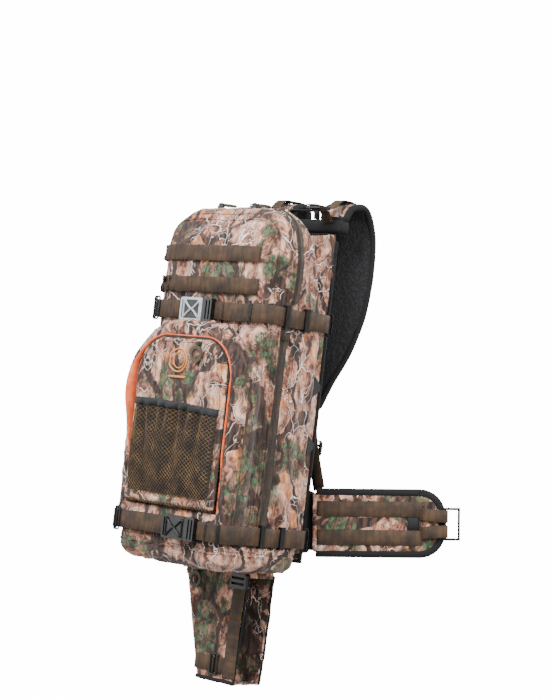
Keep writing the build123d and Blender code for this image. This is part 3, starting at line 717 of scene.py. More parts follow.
def joined(name, pieces):
    """Several new meshes as one piece; their UV maps and finishes are kept."""
    target = bmesh.new()
    finishes = []
    for piece in pieces:
        offset = len(target.faces)
        target.from_mesh(piece.data)
        target.faces.ensure_lookup_table()
        for material in piece.data.materials or [None]:
            if material and material not in finishes:
                finishes.append(material)
        for face in target.faces[offset:]:
            own = piece.data.materials
            if own:
                face.material_index = finishes.index(own[min(face.material_index, len(own) - 1)])
        bpy.data.objects.remove(piece)
    mesh = bpy.data.meshes.new(name)
    target.to_mesh(mesh)
    target.free()
    for material in finishes:
        mesh.materials.append(material)
    made = bpy.data.objects.new(name, mesh)
    bpy.context.scene.collection.objects.link(made)
    return made


# %% [markdown]
# ### Stitches
# A row of stitches repeats one small loop of thread along a line. That is a job for Geometry Nodes: the line
# is resampled at the stitch pitch, a short bead of thread is set at each point and turned along the line,
# and the copies are made real. The tree is built once and used with different lengths and pitches.


# %% Geometry Nodes tree for repeats along lines
def repeat_tree(name, bead, finish):
    """Sets copies of a bead (long in X) along every edge chain of a mesh, one pitch apart."""
    tree = bpy.data.node_groups.new(name, "GeometryNodeTree")
    tree.interface.new_socket("Geometry", in_out="INPUT", socket_type="NodeSocketGeometry")
    pitch = tree.interface.new_socket("Pitch", in_out="INPUT", socket_type="NodeSocketFloat")
    size = tree.interface.new_socket("Size", in_out="INPUT", socket_type="NodeSocketVector")
    tree.interface.new_socket("Geometry", in_out="OUTPUT", socket_type="NodeSocketGeometry")
    given = node(tree, "NodeGroupInput")
    curve = node(tree, "GeometryNodeMeshToCurve", {"Mesh": given.outputs["Geometry"]})
    even = node(
        tree, "GeometryNodeResampleCurve", {"Curve": curve.outputs["Curve"], "Length": given.outputs["Pitch"]},
        mode="LENGTH",
    )
    points = node(tree, "GeometryNodeCurveToPoints", {"Curve": even.outputs["Curve"]}, mode="EVALUATED")
    up = node(tree, "GeometryNodeInputNamedAttribute", {"Name": "up"}, data_type="FLOAT_VECTOR")
    turned = node(
        tree, "FunctionNodeAlignRotationToVector", {"Vector": points.outputs["Tangent"]}, axis="X", pivot_axis="AUTO"
    )
    stood = node(
        tree, "FunctionNodeAlignRotationToVector",
        {"Rotation": turned.outputs["Rotation"], "Vector": up.outputs["Attribute"]}, axis="Z", pivot_axis="X",
    )
    source = node(tree, "GeometryNodeObjectInfo", {"Object": bead})
    copies = node(
        tree, "GeometryNodeInstanceOnPoints",
        {"Points": points.outputs["Points"], "Instance": source.outputs["Geometry"],
         "Rotation": stood.outputs["Rotation"], "Scale": given.outputs["Size"]},
    )
    real = node(tree, "GeometryNodeRealizeInstances", {"Geometry": copies.outputs["Instances"]})
    coated = node(tree, "GeometryNodeSetMaterial", {"Geometry": real.outputs["Geometry"], "Material": finish})
    node(tree, "NodeGroupOutput", {"Geometry": coated.outputs["Geometry"]})
    return tree, pitch.identifier, size.identifier


def bead_shape(name, kind):
    """A unit bead, long in X: a thread loop, or a zipper tooth."""
    shape = bmesh.new()
    if kind == "thread":
        bmesh.ops.create_cone(shape, cap_ends=True, segments=6, radius1=0.5, radius2=0.5, depth=0.7)
        bmesh.ops.rotate(shape, cent=(0, 0, 0), matrix=Matrix.Rotation(math.pi / 2, 3, "Y"), verts=shape.verts)
        for vertex in shape.verts:
            if abs(vertex.co.x) > 0.3:
                vertex.co.z -= 0.35
        bmesh.ops.bevel(shape, geom=shape.edges[:], offset=0.08, segments=1, affect="EDGES")
    else:
        bmesh.ops.create_cube(shape, size=1.0)
        bmesh.ops.bevel(shape, geom=shape.edges[:], offset=0.22, segments=1, affect="EDGES")
    mesh = bpy.data.meshes.new(name)
    shape.to_mesh(mesh)
    shape.free()
    return bpy.data.objects.new(name, mesh)


thread_bead = bead_shape("thread_bead", "thread")
tooth_bead = bead_shape("tooth_bead", "tooth")
coil_plastic = moulded("brown_coil_nylon", "#3A3026", "#5A4D3D", 0.45)
trees = {
    "brown": repeat_tree("brown_stitches", thread_bead, brown_thread),
    "orange": repeat_tree("orange_stitches", thread_bead, orange_thread),
    "black": repeat_tree("black_stitches", thread_bead, black_thread),
    "coil": repeat_tree("zipper_coil", tooth_bead, coil_plastic),
}


def repeated(name, kind, lines, pitch, size, body):
    """Beads along lines; each line is a list of (point, up) pairs."""
    verts, edges, ups = [], [], []
    for line in lines:
        base = len(verts)
        verts += [tuple(p) for p, up in line]
        ups += [tuple(up) for p, up in line]
        edges += [(base + i, base + i + 1) for i in range(len(line) - 1)]
    mesh = bpy.data.meshes.new(name)
    mesh.from_pydata(verts, edges, [])
    attribute = mesh.attributes.new("up", "FLOAT_VECTOR", "POINT")
    for i, up in enumerate(ups):
        attribute.data[i].vector = up
    made = bpy.data.objects.new(name, mesh)
    bpy.context.scene.collection.objects.link(made)
    tree, pitch_socket, size_socket = trees[kind]
    modifier = made.modifiers.new("repeats", "NODES")
    modifier.node_group = tree
    modifier[pitch_socket] = pitch
    modifier[size_socket] = size
    settle(made)
    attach(made, body)
    print(name, "faces", len(made.data.polygons))
    return made


def stitches(name, lines, body, kind="brown", pitch=stitch_pitch):
    """Rows of stitches on some cloth."""
    return repeated(name, kind, lines, pitch, (pitch * 1.05, thread_radius * 2.4, thread_radius * 2.2), body)


def flat_line(a, b, up, pitch=0.004):
    """A straight stitch line from a to b on a face that looks towards up."""
    return [(p, Vector(up)) for p in evenly([Vector(a), Vector(b)], pitch)]


# %% Lines that lie on a skin
def on_skin(tree, points, lift):
    """Each point moved onto a skin, lifted off it, with the skin's normal."""
    found = []
    for point in points:
        at, normal, _, _ = tree.find_nearest(Vector(point))
        found.append((at + normal * lift, normal))
    return found

# %% [markdown]
# ## The stuffed bag
# The main compartment is a soft box, fully packed, with a straight back and a rounded crown. Two compression
# straps cinch it, so the cloth bulges between them and lies flat under them.


# %% Main compartment
strap_levels = (-0.190, -0.534)


def beside_zipper(point):
    """Whether a point of the bag's side lies under the side zipper, which keeps the cloth flat."""
    return abs(point.x) > 0.12 and abs(point.y + 0.146) < 0.014 and point.z < -0.2


def pressed(point):
    """How free the bag's skin is: little under the compression straps and at the pocket's back."""
    free = min(abs(point.z - level) for level in strap_levels)
    share = min(1.0, max(0.0, (free - 0.016) / 0.03))
    if point.y < -0.19 and point.z < -0.215:
        share *= 0.2
    if point.y > -0.06:
        share *= 0.5
    if beside_zipper(point):
        share *= 0.2
    return 0.15 + 0.85 * share


bag = stuffed("bag_skin", ["main_compartment"], 0.006, 0.004, 0.0075, pressed)


def slack(point):
    """Wrinkles are deepest a little way beside the straps, fade out under them, and are shallow beside the side
    zippers.
    """
    near = min(abs(point.z - level) for level in strap_levels)
    if beside_zipper(point):
        return 0.1
    return (0.35 + 0.65 * math.exp(-((near - 0.035) / 0.03) ** 2)) * min(1.0, max(0.0, (near - 0.014) / 0.012))


wrinkle(bag, 0.0026, 0.05, (1, 1, 0.55), slack, 3.0)
wrinkle(bag, 0.0016, 0.022, (1, 1, 0.5), slack, 8.0)
# Filling pulls the crown down a little; it is raised again to the level that carries the zipper.
crown_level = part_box("main_compartment")[1].z - 0.0004
crown_lift = crown_level - max(vertex.co.z for vertex in bag.data.vertices)
for vertex in bag.data.vertices:
    share = min(1.0, max(0.0, (vertex.co.z + 0.13) / 0.09))
    vertex.co.z += crown_lift * share * share * (3 - 2 * share)
print("crown raised by mm", round(1000 * crown_lift, 1))
finish_piece(bag, camo, "pack", "camo_fabric", "main_compartment")
bag_tree = surface_tree(bag)

# %% [markdown]
# The panels of the bag are sewn edge to edge, and each seam is a low ridge with a row of stitches beside it.
# The seam lines are found by looking at the bag from outside along many directions at a fixed depth.


# %% Seams of the bag
def ring_on(tree, depth, count=140, centre=(0, -0.28)):
    """Points round the bag where a plane at y = depth cuts its skin."""
    found = []
    for i in range(count):
        angle = 2 * math.pi * i / count
        towards = Vector((math.cos(angle), 0, math.sin(angle)))
        middle = Vector((centre[0], depth, centre[1]))
        hit, normal, _, _ = tree.ray_cast(middle + towards * 0.6, -towards)
        if hit is not None:
            found.append((hit, normal))
    return found


def ridge(name, line, radius, closed, finish, body, slot):
    """A seam ridge, half sunk in the cloth."""
    made = roll(name, [p for p, _ in line], radius, closed, sides=6)
    return finish_piece(made, finish, body, slot)


front_seam = ring_on(bag_tree, -0.1755)
ridge("bag_front_seam", [(p + n * 0.0004, n) for p, n in front_seam], 0.0016, True, camo, "pack", "camo_fabric")
side_seams = []
for level_top, level_foot, depth in ((-0.212, -0.515, -0.128), (-0.212, -0.515, -0.166)):
    points = [Vector((0.134, depth, level_top + (level_foot - level_top) * i / 60)) for i in range(61)]
    side_seams.append(on_skin(bag_tree, points, 0.0002))
level_seam = on_skin(bag_tree, [Vector((0.134, -0.17 + 0.1 * i / 30, -0.2125)) for i in range(31)], 0.0003)
bag_ridges = [roll("ridge", [p for p, _ in line], 0.0013, False, 6) for line in side_seams + [level_seam]]
finish_piece(joined("bag_side_seams", bag_ridges), camo, "pack", "camo_fabric")
beside = [[(p + Vector((0, 0.0042, 0)) + n * 0.0006, n) for p, n in line] for line in side_seams]
top_beside = [[(p + Vector((0, 0, -0.0042)) + n * 0.0006, n) for p, n in level_seam]]
ring_beside = ring_on(bag_tree, -0.1705)
ring_beside = [[(p + n * 0.0007, n) for p, n in ring_beside + ring_beside[:1]]]
stitches("bag_stitches", beside + top_beside + ring_beside, "pack")

# %% [markdown]
# The base pocket is the rounded lip below the lower strap. It holds the rolled-up boot when no rifle is
# carried, so it is slack and creased.


# %% Base pocket
base = stuffed("base_skin", ["base_pocket"], 0.005, 0.003, 0.005)
wrinkle(base, 0.0028, 0.035, (1, 1, 2.0), None, 5.0)
finish_piece(base, camo, "pack", "camo_fabric", "base_pocket")
base_tree = surface_tree(base)
base_line = [Vector((-0.128 + 0.256 * i / 60, -0.225, -0.566)) for i in range(61)]
base_line += [Vector((0.13, -0.215 + 0.165 * i / 40, -0.566)) for i in range(41)]
base_seam = on_skin(base_tree, base_line, 0.0003)
ridge("base_seam", base_seam, 0.0015, False, camo, "pack", "camo_fabric")
stitches("base_stitches", [[(p + Vector((0, 0, 0.005)) + n * 0.0005, n) for p, n in base_seam]], "pack")

# %% [markdown]
# ## Front pocket
# A deep pocket with an arched, zipped flap. Its side band is one strip of cloth sewn round the arch. The
# strip is built as rows of points round the arch: from the bag, forward to a rounded lip, and back in to
# the zipper. At the upper left the zipper is open, so the lip stands out there and shows its lining.


# %% The arch that the pocket follows
def arch_points(half, top, foot, radius, count):
    """Points (x, z) up the left side, round the arch and down the right, evenly spaced."""
    bend = math.pi / 2 * radius
    upright = top - radius - foot
    level = 2 * (half - radius)
    total = 2 * upright + 2 * bend + level
    points = []
    for i in range(count + 1):
        s = total * i / count
        if s < upright:
            points.append((-half, foot + s))
        elif s < upright + bend:
            a = (s - upright) / radius
            points.append((-half + radius - radius * math.cos(a), top - radius + radius * math.sin(a)))
        elif s < upright + bend + level:
            points.append((-half + radius + (s - upright - bend), top))
        elif s < upright + 2 * bend + level:
            a = (s - upright - bend - level) / radius
            points.append((half - radius + radius * math.sin(a), top - radius + radius * math.cos(a)))
        else:
            points.append((half, foot + (total - s)))
    return points


gusset_low, gusset_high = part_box("front_pocket_gusset")
flap_low, flap_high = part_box("flap_panel")
pocket_half = gusset_high.x
pocket_top, pocket_foot = gusset_high.z, gusset_low.z
flap_half, flap_top, flap_foot = flap_high.x, flap_high.z, flap_low.z
arch_count = 150
outer_arch = arch_points(pocket_half, pocket_top, pocket_foot, 0.092, arch_count)
inner_arch = arch_points(flap_half + 0.0012, flap_top + 0.0012, pocket_foot, 0.063, arch_count)


def gape(x, z):
    """How far the pocket's mouth stands open: most at the upper left."""
    beside = min(1.0, max(0.0, (-x - 0.03) / 0.06))
    tall = math.exp(-((z + 0.315) / 0.062) ** 2)
    return beside * tall


# %% Side band of the pocket
def pocket_band():
    """A strip of cloth from the bag round the lip to the zipper, with wrinkles that run across it."""
    rows = []
    for (x0, z0), (x1, z1) in zip(outer_arch, inner_arch):
        open_here = gape(x0, z0)
        swell = 0.003 * math.sin(max(0.0, min(1.0, (z0 - pocket_foot) / 0.1)) * math.pi / 2)
        out = Vector((x0 - x1, 0, z0 - z1)).normalized()
        outer, inner = Vector((x0, 0, z0)), Vector((x1, 0, z1))
        front = gusset_low.y - 0.012 * open_here
        # The bag's upright corners are round, so the band reaches further back there to meet them.
        beyond = min(0.029, max(0.0, abs(x0) - 0.098))
        corner = 0.034 - math.sqrt(0.034 ** 2 - beyond ** 2) if beyond else 0.0
        profile = [
            outer - out * 0.002 + Vector((0, gusset_high.y + 0.004 + corner, 0)),
            outer + out * swell * 0.5 + Vector((0, -0.203, 0)),
            outer + out * swell + Vector((0, -0.209, 0)),
            outer + out * swell * 0.8 + Vector((0, front + 0.0085, 0)),
            outer - out * 0.004 + Vector((0, front + 0.0025, 0)),
            outer - out * 0.009 + Vector((0, front, 0)),
            outer.lerp(inner, 0.7) + Vector((0, front - 0.0006, 0)),
            inner + out * (0.001 + 0.0125 * open_here) + Vector((0, front + 0.0012, 0)),
            inner + out * (0.001 + 0.0125 * open_here) + Vector((0, front + 0.006, 0)),
        ]
        rows.append(profile)
    verts = [p for row in rows for p in row]
    width = len(rows[0])
    faces = []
    for i in range(len(rows) - 1):
        for k in range(width - 1):
            a = i * width + k
            faces.append((a, a + 1, a + width + 1, a + width))
    base = len(verts)
    for j in range(9):
        z = pocket_foot + (flap_foot - 0.002 - pocket_foot) * j / 8
        for i in range(45):
            x = -flap_half - 0.006 + (2 * flap_half + 0.012) * i / 44
            verts.append(Vector((x, gusset_low.y + 0.0006 - 0.0015 * math.sin(math.pi * j / 8), z)))
    faces += [
        (base + j * 45 + i, base + (j + 1) * 45 + i, base + (j + 1) * 45 + i + 1, base + j * 45 + i + 1)
        for j in range(8) for i in range(44)
    ]
    made = object_from("pocket_band", verts, faces)
    finer = made.modifiers.new("finer", "SUBSURF")
    finer.levels = finer.render_levels = 1
    settle(made)
    wrinkle(made, 0.0022, 0.03, (1, 0.5, 1), lambda p: min(1.0, max(0.0, (-p.y - 0.197) / 0.01)) * (1 - gape(p.x, p.z)), 2.0)
    thick = made.modifiers.new("cloth", "SOLIDIFY")
    thick.thickness = 0.0014
    thick.offset = 0
    return settle(made)


gusset = pocket_band()
outward(gusset)
finish_piece(gusset, camo, "pack", "camo_fabric", "front_pocket_gusset")
band_length = sum((Vector(a) - Vector(b)).length for a, b in zip(outer_arch, outer_arch[1:]))
print("pocket band", round(band_length, 3), "m long")
gusset_tree = surface_tree(gusset)
piping_line = [Vector((x, -0.2095, z)) + Vector((x, 0, z + 0.36)).normalized() * 0.02 for x, z in outer_arch[6:-6]]
piping = on_skin(gusset_tree, piping_line, 0.0003)
ridge("pocket_piping", piping, 0.0014, False, camo, "pack", "camo_fabric")
stitches("pocket_stitches", [[(p + Vector((0, 0.0045, 0)) + n * 0.0012, n) for p, n in piping]], "pack")


# %% Orange lining
def lining_band():
    """The pocket's orange lining: it shows as an edge round the flap, and as a wide curl where it gapes."""
    rows = []
    for (x0, z0), (x1, z1) in zip(outer_arch[2:-2], inner_arch[2:-2]):
        open_here = gape(x0, z0)
        out = Vector((x0 - x1, 0, z0 - z1)).normalized()
        inner = Vector((x1, 0, z1))
        ruffle = 0.0008 * noise.noise(Vector((x1, z1, 0)) * 60)
        sunk = 0.005 * min(1.0, max(0.0, (-0.405 - z0) / 0.04))
        front = gusset_low.y - 0.0032 - 0.0135 * open_here + ruffle + sunk
        rows.append([
            inner - out * 0.0005 + Vector((0, -0.2, 0)),
            inner - out * 0.0003 + Vector((0, gusset_low.y + 0.004, 0)),
            inner + out * 0.006 * open_here + Vector((0, (front + gusset_low.y) / 2, 0)),
            inner + out * (0.0008 + 0.013 * open_here) + Vector((0, front, 0)),
            inner + out * (0.0018 + 0.0155 * open_here) + Vector((0, front + 0.0008, 0)),
            inner + out * (0.0020 + 0.0160 * open_here) + Vector((0, front + 0.004, 0)),
        ])
    width = len(rows[0])
    verts = [p for row in rows for p in row]
    faces = [
        (i * width + k, i * width + k + 1, (i + 1) * width + k + 1, (i + 1) * width + k)
        for i in range(len(rows) - 1) for k in range(width - 1)
    ]
    made = object_from("lining_band", verts, faces)
    thick = made.modifiers.new("cloth", "SOLIDIFY")
    thick.thickness = 0.001
    thick.offset = 0
    finer = made.modifiers.new("finer", "SUBSURF")
    finer.levels = finer.render_levels = 1
    return settle(made)


lining = lining_band()
outward(lining)
finish_piece(lining, orange_lining, "pack", "orange_lining", "front_pocket_lining")

# %% [markdown]
# The flap is a flat quilted panel. Blown up, it domes a little, as a full pocket pushes it out. It hinges at
# its foot with the mesh pocket and the embroidered badge on it.

# %% Flap panel
flap = stuffed("flap_skin", ["flap_panel"], 0.004, 0.0005, 0.003, lambda p: 1.0 if p.z > -0.33 else 0.25)
wrinkle(flap, 0.0016, 0.04, (1, 1, 0.6), lambda p: 1.0 if p.z > -0.33 else 0.2, 9.0)
finish_piece(flap, camo, "flap", "camo_fabric", "flap_panel")
flap_tree = surface_tree(flap)
edge_arch = arch_points(flap_half - 0.0075, flap_top - 0.0075, flap_foot + 0.006, 0.055, 120)
edge_line = on_skin(flap_tree, [Vector((x, -0.24, z)) for x, z in edge_arch], 0.0006)
stitches("flap_stitches", [edge_line], "flap", "brown")


# %% Embroidered badge
def badge():
    """A plain ring and a plain bar in satin stitch, with no lettering."""
    middle = Vector((-0.004, 0, -0.274))


    def circle(radius, count):
        turns = [math.tau * i / count for i in range(count)]
        return [middle + Vector((radius * math.cos(a), -0.25, radius * math.sin(a))) for a in turns]

    ring, inner = circle(0.0185, 48), circle(0.0125, 36)
    bar = [middle + Vector((-0.019 + 0.038 * i / 12, -0.25, -0.0265)) for i in range(13)]
    lines = []
    for planned in (ring, inner, bar):
        laid = on_skin(flap_tree, planned, 0.0004)
        foremost = min(p.y for p, _ in laid)
        lines.append([
            (Vector((p.x, foremost * 0.5 + p.y * 0.5, want.z)), n) for (p, n), want in zip(laid, planned)
        ])
    parts = [
        roll("badge_ring", [p for p, _ in lines[0]], 0.0013, True, 6),
        roll("badge_ring", [p for p, _ in lines[1]], 0.0008, True, 6),
        roll("badge_bar", [p for p, _ in lines[2]], 0.0022, False, 6),
    ]
    finish_piece(joined("badge", parts), orange_satin, "flap", "orange_lining")


orange_satin = cloth("orange_satin_stitch", "#B5651B", "#E8922E", "#F6B25A", 0.0011, 0.0004, 0.5, 0.3)
badge()

# %% [markdown]
# ### Mesh pocket
# The pocket on the flap is a stretchy net, gathered into a grey elastic hem at the top. The net is a rule:
# diagonal threads that cross every few millimetres. Its shape is a grid of points with pleats that fade
# towards the foot; Geometry Nodes turns the edges of a diagonal grid into threads. The real net has about
# 1.5 mm holes; it is drawn at 3.4 mm. Behind it lies a plain near-black sheet: painted shade for the dark inside of
# the pocket.

# %% Shape of the gathered net
mesh_low, mesh_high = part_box("mesh_pocket")
hem_low, hem_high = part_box("mesh_hem")


def pleat(u, v):
    """How far the net stands out in front at u across and v up, both from 0 to 1, in metres."""
    fold = 0.0
    for centre, lean, width, depth in (
        (0.10, 0.05, 0.04, 0.0075), (0.24, 0.12, 0.045, 0.0105), (0.37, 0.03, 0.035, 0.0085),
        (0.50, -0.09, 0.045, 0.0110), (0.63, 0.05, 0.035, 0.0085), (0.76, -0.08, 0.045, 0.0100),
        (0.90, -0.03, 0.04, 0.0070),
    ):
        at = centre + lean * (1 - v)
        fold += depth * math.exp(-((u - at) / (width * (1 + 0.8 * (1 - v)))) ** 2)
    return 1.35 * fold * (0.25 + 0.75 * v * v) - 0.004 * v


def net_point(u, v, inset=0.0):
    """A point of the net: a rounded front that curls back to the flap at both sides and at the foot."""
    half = mesh_high.x - 0.001
    across = -half + 2 * half * u
    foot, rim = flap_foot + 0.001, hem_low.z + 0.004 - 0.010 * (u - 0.35) ** 2 - 0.005 * u
    height = foot + (rim - foot) * v
    flap_face = flap_low.y + 0.001
    side = min(1.0, (1 - abs(2 * u - 1)) / 0.16)
    # The foot slopes, as in the design, so that the open flap's pocket clears the lower strap.
    slope = 0.8 * min(1.0, max(0.0, (v - 0.08) / 0.25)) + 0.2 * min(1.0, max(0.0, (v - 0.33) / 0.22))
    stand = math.sqrt(max(0.0, 1 - (1 - side) ** 2)) * slope
    full = mesh_low.y + 0.0045 + 0.0065 * v
    front = flap_face + (full - flap_face) * stand - pleat(u, v) * side * min(1.0, max(0.0, (v - 0.1) / 0.4))
    return Vector((across, front + inset, height))


def net_grid(name, columns, rows, inset=0.0):
    """The pocket's surface as a grid of faces."""
    verts = [net_point(i / columns, j / rows, inset) for j in range(rows + 1) for i in range(columns + 1)]
    width = columns + 1
    faces = [
        (j * width + i, j * width + i + 1, (j + 1) * width + i + 1, (j + 1) * width + i)
        for j in range(rows) for i in range(columns)
    ]
    return object_from(name, verts, faces)


# %% Net threads with Geometry Nodes
def net_tree(finish):
    """Every edge of the given mesh becomes a thread."""
    tree = bpy.data.node_groups.new("net_threads", "GeometryNodeTree")
    tree.interface.new_socket("Geometry", in_out="INPUT", socket_type="NodeSocketGeometry")
    radius = tree.interface.new_socket("Radius", in_out="INPUT", socket_type="NodeSocketFloat")
    tree.interface.new_socket("Geometry", in_out="OUTPUT", socket_type="NodeSocketGeometry")
    given = node(tree, "NodeGroupInput")
    curve = node(tree, "GeometryNodeMeshToCurve", {"Mesh": given.outputs["Geometry"]})
    circle = node(tree, "GeometryNodeCurvePrimitiveCircle", {"Resolution": 4, "Radius": given.outputs["Radius"]})
    threads = node(
        tree, "GeometryNodeCurveToMesh", {"Curve": curve.outputs["Curve"], "Profile Curve": circle.outputs["Curve"]}
    )
    real = node(tree, "GeometryNodeRealizeInstances", {"Geometry": threads.outputs["Mesh"]})
    coated = node(tree, "GeometryNodeSetMaterial", {"Geometry": real.outputs["Geometry"], "Material": finish})
    node(tree, "NodeGroupOutput", {"Geometry": coated.outputs["Geometry"]})
    return tree, radius.identifier


net_thread = cloth("olive_brown_knitted_net", "#2C1D0C", "#5A4122", "#83643A", 0.0014, 0.0004, 0.7, 0.1)
columns, rows = 56, 46
points, edges = [], []
for j in range(rows + 1):
    for i in range(columns + 1):
        points.append(net_point(i / columns, j / rows, -0.0006))
for j in range(rows):
    for i in range(columns):
        a = j * (columns + 1) + i
        if (i + j) % 2:
            edges.append((a, a + columns + 2))
        else:
            edges.append((a + 1, a + columns + 1))
net_mesh = bpy.data.meshes.new("pocket_net")
net_mesh.from_pydata([tuple(p) for p in points], edges, [])
net = bpy.data.objects.new("pocket_net", net_mesh)
bpy.context.scene.collection.objects.link(net)
net_group, net_radius = net_tree(net_thread)
net_modifier = net.modifiers.new("threads", "NODES")
net_modifier.node_group = net_group
net_modifier[net_radius] = 0.00055
settle(net)
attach(net, "flap")
print("net faces", len(net.data.polygons))

# %% Dark sheet behind the net: painted shade
# A plain near-black sheet behind the net stands for the shaded inside of the pocket: painted shade.
shade_sheet = net_grid("pocket_backing", 84, 60, 0.0006)
wall = shade_sheet.modifiers.new("cloth", "SOLIDIFY")
wall.thickness = 0.0007
wall.offset = 0
settle(shade_sheet)
outward(shade_sheet)
finish_piece(shade_sheet, pocket_shade_cloth, "flap", "olive_mesh", "mesh_pocket")

# %% Elastic hem
hem_line = [net_point(i / 70, 1.0, -0.0012) + Vector((0, 0, 0.003)) for i in range(71)]
hem = strip("mesh_hem_tape", hem_line, (0, 0, 1), 0.0115, 0.0026)
finish_piece(hem, elastic, "flap", "grey_elastic", "mesh_hem")
hem_rows = [[(p + Vector((0, -0.0016, dz)), Vector((0, -1, 0))) for p in hem_line[2:-2]] for dz in (0.0035, -0.0035)]
stitches("hem_stitches", hem_rows, "flap", "black", 0.0046)

# %% [markdown]
# ## Webbing on the bag
# Two rows of load webbing are sewn to the upper front and run round the left corner. Between its stitch
# columns the tape stands off the cloth, so that gear can be hooked in. The rows lie on the bag's skin.

# %% Load rows
row_stitch_gap = 0.0381


def skin_strip(name, tree, points, width, lift, puff=0.0, step=row_stitch_gap):
    """Webbing laid on a skin; puff is how far it stands off halfway between stitch columns."""
    fine = evenly([Vector(p) for p in points], 0.0035)
    placed = on_skin(tree, fine, 0)
    normals = [n for _, n in placed]
    smooth = []
    for i in range(len(normals)):
        near = normals[max(0, i - 3):i + 4]
        smooth.append(sum(near, Vector()).normalized())
    run, line, acrosses, columns = 0.0, [], [], []
    for i, (at, _) in enumerate(placed):
        if i:
            run += (fine[i] - fine[i - 1]).length
        wave = abs(math.sin(math.pi * run / step)) if puff else 0.0
        across = Vector((0, 0, 1))
        across = (across - smooth[i] * across.dot(smooth[i])).normalized()
        line.append(at + smooth[i] * (lift + puff * wave ** 0.5))
        acrosses.append(across)
        columns.append((line[-1], smooth[i], across, run))
    return strip(name, line, acrosses, width), columns


def columns_at(columns, step, width, first=0.0):
    """Stitch columns across a strip, one every step."""
    lines, due = [], first
    for at, normal, across, run in columns:
        if run >= due:
            top = at + normal * 0.0011
            lines.append([(top + across * width * (k / 8 - 0.5) * 0.9, normal) for k in range(9)])
            due += step
    return lines


row_pieces, row_lines = [], []
for level in (-0.0985, -0.1493):
    path = rounded([(0.110, -0.203, level), (-0.138, -0.203, level), (-0.138, -0.161, level)], 0.03, 8)
    tape, columns = skin_strip("row", bag_tree, path, row_width, 0.0014, 0.0030)
    row_pieces.append(tape)
    row_lines += columns_at(columns, row_stitch_gap, row_width)
rows_piece = joined("load_row_tapes", row_pieces)
finish_piece(rows_piece, brown_webbing, "pack", "brown_webbing", "load_rows")
stitches("load_row_stitches", row_lines, "pack", "brown", 0.0028)

# %% [markdown]
# The compression straps run from a buckle in front, round the bag's sides and back to the harness. They are
# flat straps pulled tight, so they are modelled directly, along the design's own route.


# %% Compression straps
def strap_path(front, start, level, corner, side):
    """The route of one half strap, as in the design: front, side, then back to the harness panel."""
    side_line = 0.1334
    path = [(start, front, level), (side_line, front, level), (side_line, -0.050, level), (0.083, -0.002, level)]
    first = rounded(path[:3], corner, 10)[:-1]
    whole = first + rounded([first[-1], path[2], path[3]], 0.014, 5)[1:]
    whole = evenly(whole, 0.006)
    return [Vector((p.x * side, p.y, p.z + 0.0006 * math.sin(p.x * 41 + p.y * 57))) for p in whole]


strap_width = 0.029
for name, front, level, corner, right_start, left_start in (
    ("top", -0.1984, -0.190, 0.034, 0.008, 0.042),
    ("bottom", -0.2287, -0.534, 0.018, 0.058, -0.008),
):
    for side_name, side, start in (("right", 1, right_start), ("left", -1, left_start)):
        path = strap_path(front, start, level, corner, side)
        tape = strip(f"{name}_strap_{side_name}_tape", path, (0, 0, 1), strap_width)
        begin = start + 0.004
        fold = [
            (side * (begin + 0.030 * i / 8), front - 0.0019 - 0.0006 * math.sin(math.pi * i / 8), level)
            for i in range(9)
        ]
        doubled = strip("fold", fold, (0, 0, 1), strap_width - 0.001)
        both = joined(f"{name}_strap_{side_name}_tape", [tape, doubled])
        finish_piece(both, brown_webbing, "pack", "brown_webbing", f"{name}_strap_{side_name}")

strap_rows = []
strap_fronts = (
    (-0.1984, -0.190, ((1, 0.008), (-1, 0.042))),
    (-0.2287, -0.534, ((1, 0.058), (-1, -0.008))),
)
for front, level, starts in strap_fronts:
    for side, start in starts:
        x = side * (start + 0.032)
        for dx in (0, 0.0035 * side):
            low, high = level - 0.012, level + 0.012
            strap_rows.append(
                flat_line((x + dx, front - 0.0029, low), (x + dx, front - 0.0029, high), (0, -1, 0))
            )
    for y in (-0.086, -0.168):
        strap_rows.append(flat_line((0.1345, y, level - 0.012), (0.1345, y, level + 0.012), (1, 0, 0)))
stitches("strap_stitches", strap_rows, "pack", "brown", 0.0026)


# %% Strap frames and end tabs
def slot_frame(middle, across, along, height, length, radius):
    """A moulded rectangular frame round a strap."""
    across, along = Vector(across), Vector(along)
    corners = [(-1, -1), (1, -1), (1, 1), (-1, 1)]
    ring = []
    for i, (a, b) in enumerate(corners):
        corner = Vector(middle) + across * a * height / 2 + along * b * length / 2
        for k in range(5):
            t = math.pi / 2 * k / 4
            start_angle = math.atan2(b, a) - math.pi / 4 + t
            inner = corner - across * a * 0.002 - along * b * 0.002
            ring.append(inner + across * 0.002 * math.cos(start_angle) + along * 0.002 * math.sin(start_angle))
    return roll("frame", ring, radius, True, 8)


frames = []
for front, level, left_x, right_x in ((-0.2005, -0.190, -0.112, 0.104), (-0.2308, -0.534, -0.113, 0.1205)):
    for x, long in ((left_x, 0.011), (right_x, 0.004)):
        frames.append(slot_frame((x, front, level), (0, 0, 1), (1, 0, 0), 0.036, long, 0.0015))
        bar = [(x, front - 0.001, level - 0.017 + 0.034 * i / 6) for i in range(7)]
        frames.append(roll("bar", bar, 0.0014))
finish_piece(joined("strap_frames", frames), black_acetal, "pack", "black_plastic")

tabs = []
for side in (1, -1):
    for level in (-0.190, -0.534):
        middle = Vector((0.119 * side, -0.0335, level))
        along = Vector((-0.0504 * side, 0.048, 0)).normalized()
        ring = []
        for i in range(24):
            a = math.tau * i / 24
            out = along.cross(Vector((0, 0, 1)))
            thick, tall = (abs(v) ** 0.35 * math.copysign(1, v) for v in (math.cos(a), math.sin(a)))
            ring.append(middle + out * 0.0032 * thick + Vector((0, 0, 1)) * 0.0172 * tall)
        ring.append(ring[0])
        tabs.append(strip("tab", ring, along, 0.024, 0.0016))
finish_piece(joined("strap_end_tabs", tabs), black_webbing, "pack", "black_webbing")
